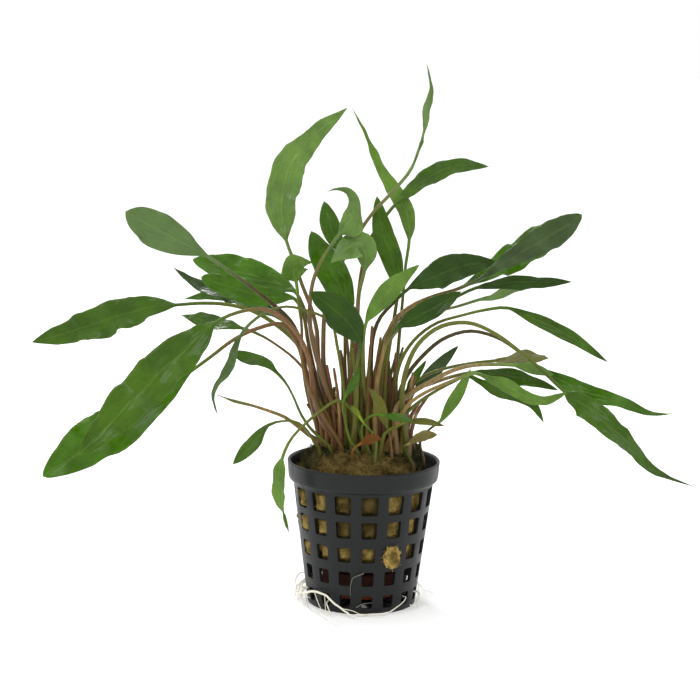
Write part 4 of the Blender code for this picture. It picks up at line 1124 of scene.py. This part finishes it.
def leaf_rows(node, form):
    """A leaf's rows from foot to tip. place runs from -1 at the foot over 0 at the neck to 1 at the tip."""
    cut = node == CUT_STALK
    st = leaf_stations(node)
    places = np.concatenate([[0.0], np.cumsum(np.linalg.norm(np.diff(st.centre, axis=0), axis=1))])
    neck = int(np.max(np.nonzero(st.thick >= STALK_LEAST)[0]))
    blade_length = places[-1] - places[neck]
    stalk_rows = max(int((places[neck] - places[0]) / STALK_ROW), 6)
    blade_rows = max(int(blade_length / settings("leaves").row_step), 16)
    wanted = np.concatenate([np.linspace(places[0], places[neck], stalk_rows + 1)[:-1],
                             places[neck] + blade_length * np.linspace(0.0, 1.0, blade_rows + 1)])
    along = wanted - places[neck]
    run = along / blade_length
    place = np.where(run > 0, run, along / (places[neck] - places[1]))
    side = unit_rows(smooth_between(places, st.side, wanted))
    up = smooth_between(places, st.up, wanted)
    up = unit_rows(up - side * np.sum(up * side, axis=1)[:, None])
    thick = np.interp(wanted, places, st.thick)
    stalk = (run <= 0) | cut
    bent = places[neck] + blade_length * (1 - np.clip(1 - run, 0.0, 1.0) ** (1 / (1 + form.fullness)))
    shifted = np.where(stalk, wanted, bent)
    half = np.maximum(smooth_between(places, st.half, shifted)[:, 0], 0.0) * form.width
    slim = form.stalk + (1 - form.stalk) * np.clip(1 + place / 0.2, 0.0, 1.0)
    flare = 1.0 + 0.16 * np.clip((-place - 0.85) / 0.15, 0.0, 1.0)
    half = np.where(stalk, 0.5 * thick * slim * flare, np.maximum(half, 0.5 * thick * (run < 0.05)))
    lifts = [np.where(stalk, 0.0, smooth_between(places, lift, shifted)[:, 0])
             for lift in (st.lift_left, st.lift_right)]
    flat = np.clip(run / 0.09, 0.0, 1.0) * (not cut)
    flat = flat * flat * (3 - 2 * flat)
    sides = [1 + (factor - 1) * np.exp(-((run - at) / 0.2) ** 2) * flat
             for factor, at in ((form.left, form.left_at), (form.right, form.right_at))]
    return Rows(smooth_between(places, st.centre, wanted), side, up, half, thick, *lifts, *sides, flat, run,
                place, along)


def leaf_points(rows, section, under):
    """Points over a leaf's rows: a round stalk that turns into a thin blade with its rib underneath."""
    lamina = settings("leaves").lamina
    x = section[None, :]
    half, flat = rows.half[:, None], rows.flat[:, None]
    sign = 1.0 - 2.0 * under[None, :]
    reach = x * half * np.where(x > 0, rows.left[:, None], rows.right[:, None])
    round_height = half * np.sqrt(np.maximum(1.0 - x ** 2, 0.0))
    rib = np.exp(-(np.abs(reach) / RIB_WIDTH) ** 2) * np.where(under > 0.5, 0.55, 0.10)[None, :]
    skin = 0.5 * lamina * (1.0 - np.abs(x) ** 8) * np.minimum(half / RIB_WIDTH, 1.0)
    body = skin + rib * np.maximum(rows.thick - lamina, 0.0)[:, None]
    height = (1 - flat) * round_height + flat * np.where(sign == 0, 0.0, body)
    lift = np.where(x > 0, rows.lift_left[:, None], rows.lift_right[:, None]) * np.abs(x) ** 1.7
    return (rows.centre[:, None, :] + rows.side[:, None, :] * reach[:, :, None]
            + rows.up[:, None, :] * (height * sign + lift)[:, :, None])


def leaf_mesh(name, node, form, stem_tint, blade_tint):
    """A leaf's fine closed surface, with the attributes that its relief and finish read."""
    cut = node == CUT_STALK
    rows = leaf_rows(node, form)
    x = np.array(PLACES)
    section = np.concatenate([x, x[-2:0:-1]])
    under = np.concatenate([np.zeros(len(x)), np.ones(len(x) - 2)])
    under[[0, len(x) - 1]] = 0.5
    last = len(rows.half) - 1
    rings = last + cut
    length = len(section)
    total = rings * length
    verts = leaf_points(rows, section, under)[:rings].reshape(-1, 3)
    ends = [verts[:length].mean(axis=0), verts[-length:].mean(axis=0) if cut else rows.centre[last]]

    def spread(values, foot, tip):
        """Values for every point of every ring, then for the middles of foot and tip."""
        shape = np.shape(foot)
        wide = np.broadcast_to(values, (rings, length, *shape))
        return np.concatenate([wide.reshape(-1, *shape), [foot, tip]])

    blade = rows.flat * np.clip((1 - rows.run) / 0.12, 0, 1)
    numbers = {
        "place": (rows.place[:rings, None], rows.place[0], rows.place[last]),
        "across": (section[None, :], 0.0, 0.0),
        "width": (rows.half[:rings, None], rows.half[0], 0.0),
        "under": (under[None, :], 0.5, 0.5),
        "along": (rows.along[:rings, None], rows.along[0], rows.along[last]),
        "blade": (blade[:rings, None], 0.0, 0.0),
    }
    layers = {key: ("FLOAT", spread(*values)) for key, values in numbers.items()}
    for key, way in (("lift_way", rows.up), ("side_way", rows.side)):
        layers[key] = ("FLOAT_VECTOR", spread(way[:rings, None, :], way[0], way[last]))
    for key, tint in (("stalk_tint", stem_tint), ("blade_tint", blade_tint)):
        layers[key] = ("FLOAT_COLOR", np.tile((*tint, 1.0), (total + 2, 1)))
    pairs = [(j, (j + 1) % length) for j in range(length)]
    faces = [(low + j, low + beside, low + length + beside, low + length + j)
             for low in range(0, total - length, length) for j, beside in pairs]
    faces += [(beside, j, total) for j, beside in pairs]
    faces += [(total - length + j, total - length + beside, total + 1) for j, beside in pairs]
    return add_mesh(name, np.vstack([verts, ends]), faces, attributes=layers)


def leaf_tree():
    """Waves a leaf's margins, wavers its outline and puckers its blade between the veins."""
    tree, out, outlet = new_tree(
        "leaf_form", ("Leaf", GEOMETRY, None), ("Ripple", NUMBER, 0.17), ("Pitch", NUMBER, 0.0135),
        ("Phase", NUMBER, 0.0), ("Waver", NUMBER, 0.4), ("Quilting", NUMBER, 0.00016))

    def read(key, kind="FLOAT"):
        return put(tree, "GeometryNodeInputNamedAttribute", {"Name": key}, data_type=kind).outputs[0]

    def cloud(scale, detail):
        return speckle(tree, place, scale, detail=detail, roughness=0.5)

    place = put(tree, "GeometryNodeInputPosition").outputs[0]
    across, width, blade = read("across"), read("width"), read("blade")
    away = calc(tree, "ABSOLUTE", across)
    turn = times(tree, calc(tree, "DIVIDE", read("along"), out["Pitch"]), 2 * math.pi)
    lag = times(tree, calc(tree, "SIGN", across), 1.1)
    wander = times(tree, cloud(85.0, 2.0), 4.5)
    wave = calc(tree, "SINE", plus(tree, plus(tree, turn, lag), plus(tree, wander, out["Phase"])))
    quick = calc(tree, "SINE", plus(tree, times(tree, turn, 2.3), wander))
    mood = ramp(tree, cloud(48.0, 1.0), 0.36, 0.62, 0.35, 1.3)
    both = times(tree, mood, plus(tree, wave, times(tree, quick, 0.18)))
    edge = calc(tree, "POWER", away, 1.8)
    ripple = times(tree, times(tree, both, edge), times(tree, width, out["Ripple"]))
    slant = less(tree, away, times(tree, read("place"), VEIN_SLANT))
    pucker = times(tree, calc(tree, "COSINE", times(tree, slant, VEINS * 2 * math.pi)), -1.0)
    dents = times(tree, less(tree, cloud(260.0, 3.0), 0.5), 4.5)
    quilt = times(tree, plus(tree, pucker, dents), out["Quilting"])
    lift = times(tree, plus(tree, ripple, quilt), blade)
    swing = times(tree, less(tree, cloud(105.0, 3.0), 0.5), times(tree, across, out["Waver"]))
    stray = times(tree, times(tree, swing, width), blade)
    offset = vector_calc(tree, "ADD", multiplied(tree, read("lift_way", "FLOAT_VECTOR"), lift),
                         multiplied(tree, read("side_way", "FLOAT_VECTOR"), stray))
    moved = put(tree, "GeometryNodeSetPosition", {"Geometry": out["Leaf"], "Offset": offset}).outputs[0]
    return end_tree(tree, outlet, moved, out["Material"])


STALK_TINTS = {
    "brown": srgb(120, 84, 48),
    "tan": srgb(150, 122, 74),
    "olive": srgb(100, 108, 38),
    "pink": srgb(138, 92, 66),
    "green": srgb(84, 112, 28),
    "umber": srgb(64, 44, 28),
    # Painted shade: this dark moss colour on the stalks of leaf_pale_old and leaf_slant_right makes them read as
    # the wool's shadow.
    "moss": srgb(62, 60, 26),
}
COMMON_STEMS = ("brown", "olive", "pink", "tan", "brown", "olive")
BLADE_OF_SLOT = {"leaf_mid": "mid", "leaf_bright": "bright", "leaf_dark": "dark", "leaf_grey": "grey",
                 "leaf_pale": "pale", "leaf_olive": "olive", "stalk": "olive", "old_leaf": "straw",
                 "dead_leaf": "withered"}
FORMS = {
    "cut_stalk": Form(stem="tan", stalk=0.7),
    "leaf_arch_left_back": Form(stem="brown", blade="bright", fullness=0.45, width=1.08, right=1.3,
                                right_at=0.72),
    "leaf_arch_left_front": Form(stem="pink", blade="mid", fullness=0.3, waver=0.6),
    "leaf_arch_right": Form(stem="umber", blade="bright", stalk=0.8, width=0.95, fullness=-0.25),
    "leaf_arch_right_front": Form(stem="olive", blade="mid", stalk=0.85, fullness=-0.35, waver=2.4),
    "leaf_broad_upper_left": Form(stem="umber", blade="silver", fullness=0.3, waver=0.3),
    "leaf_centre_bright": Form(stem="olive", blade="bright", width=1.1, fullness=0.3, waver=0.4),
    "leaf_centre_dark": Form(stem="brown", blade="mid", fullness=0.2, waver=0.7),
    "leaf_centre_front": Form(stem="olive", blade="dark"),
    "leaf_centre_slim": Form(stem="olive", blade="bright", stalk=0.6, fullness=0.2),
    "leaf_centre_yellow": Form(blade="pale"),
    "leaf_curled_front": Form(stem="brown", stalk=0.5),
    "leaf_dark_right": Form(stem="umber", blade="dark"),
    "leaf_dead": Form(stem="brown", stalk=0.5),
    "leaf_far_left": Form(stem="olive", blade="mid"),
    "leaf_far_right": Form(stem="olive", blade="mid", stalk=0.7, width=0.85),
    "leaf_fold_front": Form(stem="pink", blade="pale", waver=0.5, left=2.3, left_at=0.74, right=1.25),
    "leaf_fold_over": Form(stem="brown", blade="pale", width=0.8, fullness=-0.3, waver=0.5, right=3.0,
                           right_at=0.08),
    "leaf_grey_right": Form(stalk=0.6),
    "leaf_hanging_left": Form(stem="olive", blade="silver", stalk=0.6, fullness=-0.15),
    "leaf_left_bright": Form(stem="pink", blade="bright", fullness=0.3, waver=0.6),
    "leaf_left_hidden": Form(stalk=0.6),
    "leaf_left_narrow": Form(stem="brown", stalk=0.6, fullness=-0.1),
    "leaf_left_small": Form(blade="bright", stalk=0.6),
    "leaf_left_under": Form(stem="brown", blade="bright", fullness=0.5),
    "leaf_level_right": Form(stem="olive", blade="dark", width=0.75),
    "leaf_level_right_under": Form(width=0.8, stalk=0.7),
    "leaf_long_right": Form(stem="tan", blade="grey", width=0.82, fullness=0.4, waver=1.7),
    "leaf_long_right_back": Form(stem="olive", blade="bright", fullness=0.3),
    "leaf_low_arch": Form(stem="tan"),
    "leaf_low_dark": Form(blade="olive", stalk=0.7),
    "leaf_low_left": Form(stem="olive", blade="mid", stalk=0.5, fullness=0.25),
    "leaf_low_mid": Form(stem="tan", blade="mid", width=0.85, waver=2.0),
    "leaf_low_under": Form(stem="olive", blade="mid", stalk=0.7, waver=1.6),
    "leaf_low_wavy": Form(stem="tan", blade="pale", stalk=0.7, waver=2.0),
    "leaf_olive_front": Form(stem="olive", stalk=0.7, width=0.62, waver=1.5),
    "leaf_over_rim": Form(stem="olive", blade="pale", stalk=0.65, width=1.3, fullness=-0.15),
    # Painted shade: these two stalks are tinted dark moss so that they read as the wool's shadow behind them.
    "leaf_pale_old": Form(stem="moss", stalk=0.6, width=0.62, fullness=0.3, waver=4.0),
    "leaf_slant_right": Form(stem="moss", blade="pale", stalk=0.5),
    "leaf_slim_centre": Form(stem="green", stalk=0.6),
    "leaf_slim_right": Form(stem="green", stalk=0.5),
    "leaf_small_folded": Form(stem="brown", blade="pale", stalk=0.7, width=0.85, fullness=-0.1, left=1.5,
                              left_at=0.15, right=1.3),
    "leaf_sprout": Form(stem="green", blade="young", stalk=0.5, waver=2.0),
    "leaf_tall_left": Form(stem="brown", blade="pale", fullness=0.05, waver=2.0),
    "leaf_thin_front": Form(stem="green", stalk=0.5),
    "leaf_tiny_front": Form(stem="green", stalk=0.5),
    "leaf_top_right": Form(blade="mid", width=0.88, fullness=0.1, waver=1.5),
    "leaf_topmost": Form(stem="brown", blade="pale", stalk=0.85, width=0.75, waver=1.8),
    "leaf_touching_tip": Form(stem="olive", blade="pale", stalk=0.7, fullness=-0.28),
    "leaf_wavy_left": Form(stem="green", blade="mid", stalk=0.55, fullness=0.3),
}


def slots_by_node():
    """The record's material slot of every node."""
    return {part["node"]: part["material_slot"] for part in frame["record"]["subparts"]}


def leaf_kinds():
    """Leaf nodes in three groups: broad, slender, and old or cut."""
    slots = slots_by_node()
    kinds = {"broad": [], "slender": [], "old": []}
    for node in sorted(frame["nodes"]):
        slot = slots[node]
        if slot in ("stalk", *DRY_SLOTS):
            kinds["old"].append(node)
        elif slot.startswith("leaf_"):
            broad = leaf_stations(node).half.max() > BROAD
            kinds["broad" if broad else "slender"].append(node)
    return kinds


def grow_leaves(kind, ripple):
    """Make the visible leaves of one kind, with their margins' ripple and relief made stronger or weaker."""
    look = settings("leaves")
    tree = bpy.data.node_groups.get("leaf_form") or leaf_tree()
    slots = slots_by_node()
    order = sorted(frame["nodes"])
    for node in leaf_kinds()[kind]:
        rank, slot = order.index(node), slots[node]
        form = FORMS.get(node, Form())
        stem = STALK_TINTS[form.stem or COMMON_STEMS[rank % len(COMMON_STEMS)]]
        vigour = 0.93 + 0.14 * ((rank * 0.618) % 1.0)
        blade = [vigour * value for value in getattr(look, form.blade or BLADE_OF_SLOT[slot])]
        finish = bpy.data.materials.get("grown_" + slot) or leaf_finish("grown_" + slot, slot)
        base = leaf_mesh(node + "_grown", node, form, stem, blade)
        leaf = run_tree(base, tree, ripple=look.ripple * ripple, pitch=look.ripple_pitch, phase=1.7 * rank,
                        waver=look.waver * form.waver, quilting=look.quilting * ripple, material=finish)
        face_outwards(leaf)
        finish_piece(leaf, slot, node)


class PLANT_OT_broad_leaves(bpy.types.Operator):
    """Grow the broad wavy leaves"""
    bl_idname = "plant.broad_leaves"
    bl_label = "Broad Leaves"

    def execute(self, context):
        grow_leaves("broad", 1.0)
        return {"FINISHED"}


class PLANT_OT_slender_leaves(bpy.types.Operator):
    """Grow the slender leaves"""
    bl_idname = "plant.slender_leaves"
    bl_label = "Slender Leaves"

    def execute(self, context):
        grow_leaves("slender", 0.9)
        return {"FINISHED"}


class PLANT_OT_old_leaves(bpy.types.Operator):
    """Grow the withered leaves and the cut stalk"""
    bl_idname = "plant.old_leaves"
    bl_label = "Old Leaves"

    def execute(self, context):
        grow_leaves("old", 1.8)
        return {"FINISHED"}


# Dry leaf bases, in millimetres: how many, how far out they stand, and the heights where they start and rise
SHEATHS = 46
SHEATH_SPREAD = 33.0
SHEATH_DEPTH = 9.0
SHEATH_FOOT = 54.0
SHEATH_BEND = 58.0


def sheath_finish():
    """Dry leaf bases: reddish brown to tan, streaked along their length."""
    material, tree, shader, place = new_material("dry_sheath")
    drawn = streaks(tree, place, 0.12)
    grain = grain_on(tree, drawn, 150.0, 1500.0)
    other = speckle(tree, vector_calc(tree, "ADD", drawn, (0.31, 0.17, 0.0)), 170.0)
    ground = blend(tree, ramp(tree, grain["Patches"], 0.44, 0.56), rgba(STALK_TINTS["pink"], 0.72),
                   rgba(STALK_TINTS["brown"], 0.85))
    for mask, tint in ((ramp(tree, other, 0.50, 0.56), rgba(STALK_TINTS["olive"], 0.8)),
                       (ramp(tree, other, 0.42, 0.36), rgba(STALK_TINTS["tan"])),
                       (times(tree, grain["Specks"], 0.4), rgba(STALK_TINTS["umber"]))):
        ground = blend(tree, mask, ground, tint)
    feed(tree, shader, {"Base Color": ground, "Roughness": 0.6, "Specular IOR Level": 0.2})
    bump(tree, shader, grain["Height"], 0.0002, 0.7)
    return material


def sheath_routes():
    """Short routes that rise from the wool between the stalks and lean outwards with them."""
    chance = np.random.default_rng(SEED)
    routes = []
    for k in range(SHEATHS):
        x = -0.5 * SHEATH_SPREAD + SHEATH_SPREAD * (k + 0.5) / SHEATHS
        y = chance.uniform(-SHEATH_DEPTH, SHEATH_DEPTH)
        rise = chance.uniform(10.0, 24.0)
        rise += 34.0 * (1 - abs(x / 17.0)) * chance.uniform(0.1, 1.0)
        lean = chance.uniform(0.10, 0.34)
        stray = chance.uniform(-1.5, 1.5)
        routes.append([(x, y, SHEATH_FOOT), (x + 0.1 * lean * x, y, SHEATH_BEND + 0.25 * rise),
                       (x * (1 + 0.5 * lean), y * (1 + 0.3 * lean), SHEATH_BEND + 0.65 * rise),
                       (x * (1 + 1.2 * lean) + stray, y * (1 + lean), SHEATH_BEND + rise)])
    return routes


class PLANT_OT_dry_sheaths(bpy.types.Operator):
    """Grow the dry leaf bases that fill the crown between the stalks"""
    bl_idname = "plant.dry_sheaths"
    bl_label = "Dry Sheaths"

    def execute(self, context):
        add_tubes("crown_sheaths", sheath_routes(), "stalk", radius=0.00095, waver=0.0005, taper=0.5,
                  spacing=0.0015, sides=9, material=sheath_finish())
        return {"FINISHED"}


# Stage

WHITE = (1.0, 1.0, 1.0, 1.0)
SENSOR = 36.0
FLOOR_SIDES = 64
PLANT_MIDDLE = (0.0, 0.0, 0.1)
BACK_TARGET = (0.0, 0.0, 0.13)


def add_light(name, kind, place, target, spread, power):
    """A soft light that looks at a point: a square area light or a wide sun."""
    light = bpy.data.lights.new(name, kind)
    setattr(light, "angle" if kind == "SUN" else "size", spread)
    light.energy = power
    obj = add_object(name, light)
    obj.location = place
    obj.rotation_euler = (Vector(target) - Vector(place)).to_track_quat("-Z", "Y").to_euler()


def floor_finish(look):
    """Pale matt floor with a faint mottle."""
    material, tree, shader, place = new_material("pale_floor")
    mottle = ramp(tree, speckle(tree, place, 6.0), 0.0, 1.0, 0.985, 1.0)
    feed(tree, shader, {
        "Base Color": multiplied(tree, rgba(look.floor)[:3], mottle), "Roughness": 0.8,
        "Specular IOR Level": 0.1, "Emission Color": WHITE, "Emission Strength": look.floor_lift})
    return material


class PLANT_OT_stage(bpy.types.Operator):
    """Set up the pale floor, the soft light and the camera"""
    bl_idname = "plant.stage"
    bl_label = "Stage"

    def execute(self, context):
        look = settings("stage")
        scene = context.scene
        turns = [2 * math.pi * k / FLOOR_SIDES for k in range(FLOOR_SIDES)]
        radius = look.floor_radius
        rim = [(radius * math.cos(turn), radius * math.sin(turn), 0.0) for turn in turns]
        add_mesh("floor", rim, [tuple(range(FLOOR_SIDES))], floor_finish(look))
        world = bpy.data.worlds.new("studio")
        world.use_nodes = True
        feed(world.node_tree, world.node_tree.nodes["Background"], {"Color": WHITE, "Strength": look.sky})
        scene.world = world
        scene.view_settings.view_transform = "Standard"
        add_light("back_lamp", "AREA", (-0.25, 0.55, 0.75), BACK_TARGET, 0.22, look.back_light)
        add_light("key_light", "AREA", (-0.45, -0.7, 0.9), PLANT_MIDDLE, 0.45, look.key)
        add_light("overhead_light", "SUN", (-0.15, -0.25, 1.0), PLANT_MIDDLE, math.radians(60), look.sun)
        lens = bpy.data.cameras.new("camera")
        lens.lens = look.lens
        lens.sensor_width = SENSOR
        camera = add_object("camera", lens)
        camera.matrix_world = (Matrix.Translation(look.place)
                               @ Matrix.Rotation(math.radians(90) - look.tilt, 4, "X")
                               @ Matrix.Rotation(look.roll, 4, "Z"))
        scene.camera = camera
        return {"FINISHED"}


class PLANT_PT_panel(bpy.types.Panel):
    """Lists the steps that dress the plant"""
    bl_idname = "PLANT_PT_panel"
    bl_label = "Potted Plant"
    bl_space_type = "VIEW_3D"
    bl_region_type = "UI"
    bl_category = "Plant"

    def draw(self, context):
        for step in STEPS:
            self.layout.operator(step.bl_idname)
        for key, group in GROUPS.items():
            box = self.layout.box()
            for name in group.__annotations__:
                box.prop(getattr(context.scene, "plant_" + key), name)


GROUPS = {"pot": PotSettings, "fill": FillSettings, "roots": RootSettings, "leaves": LeafSettings,
          "stage": StageSettings}
STEPS = (PLANT_OT_stage, PLANT_OT_net_pot, PLANT_OT_wool, PLANT_OT_clay_ring, PLANT_OT_roots,
         PLANT_OT_broad_leaves, PLANT_OT_slender_leaves, PLANT_OT_old_leaves, PLANT_OT_dry_sheaths)


def register():
    for item in (*GROUPS.values(), *STEPS, PLANT_PT_panel):
        bpy.utils.register_class(item)
    for key, group in GROUPS.items():
        setattr(bpy.types.Scene, "plant_" + key, bpy.props.PointerProperty(type=group))


def unregister():
    for key in GROUPS:
        delattr(bpy.types.Scene, "plant_" + key)
    for item in (PLANT_PT_panel, *reversed(STEPS), *reversed(GROUPS.values())):
        bpy.utils.unregister_class(item)


def main():
    register()
    for step in STEPS:
        group, name = step.bl_idname.split(".")
        getattr(getattr(bpy.ops, group), name)()
    bpy.context.view_layer.update()


if __name__ == "__main__":
    main()
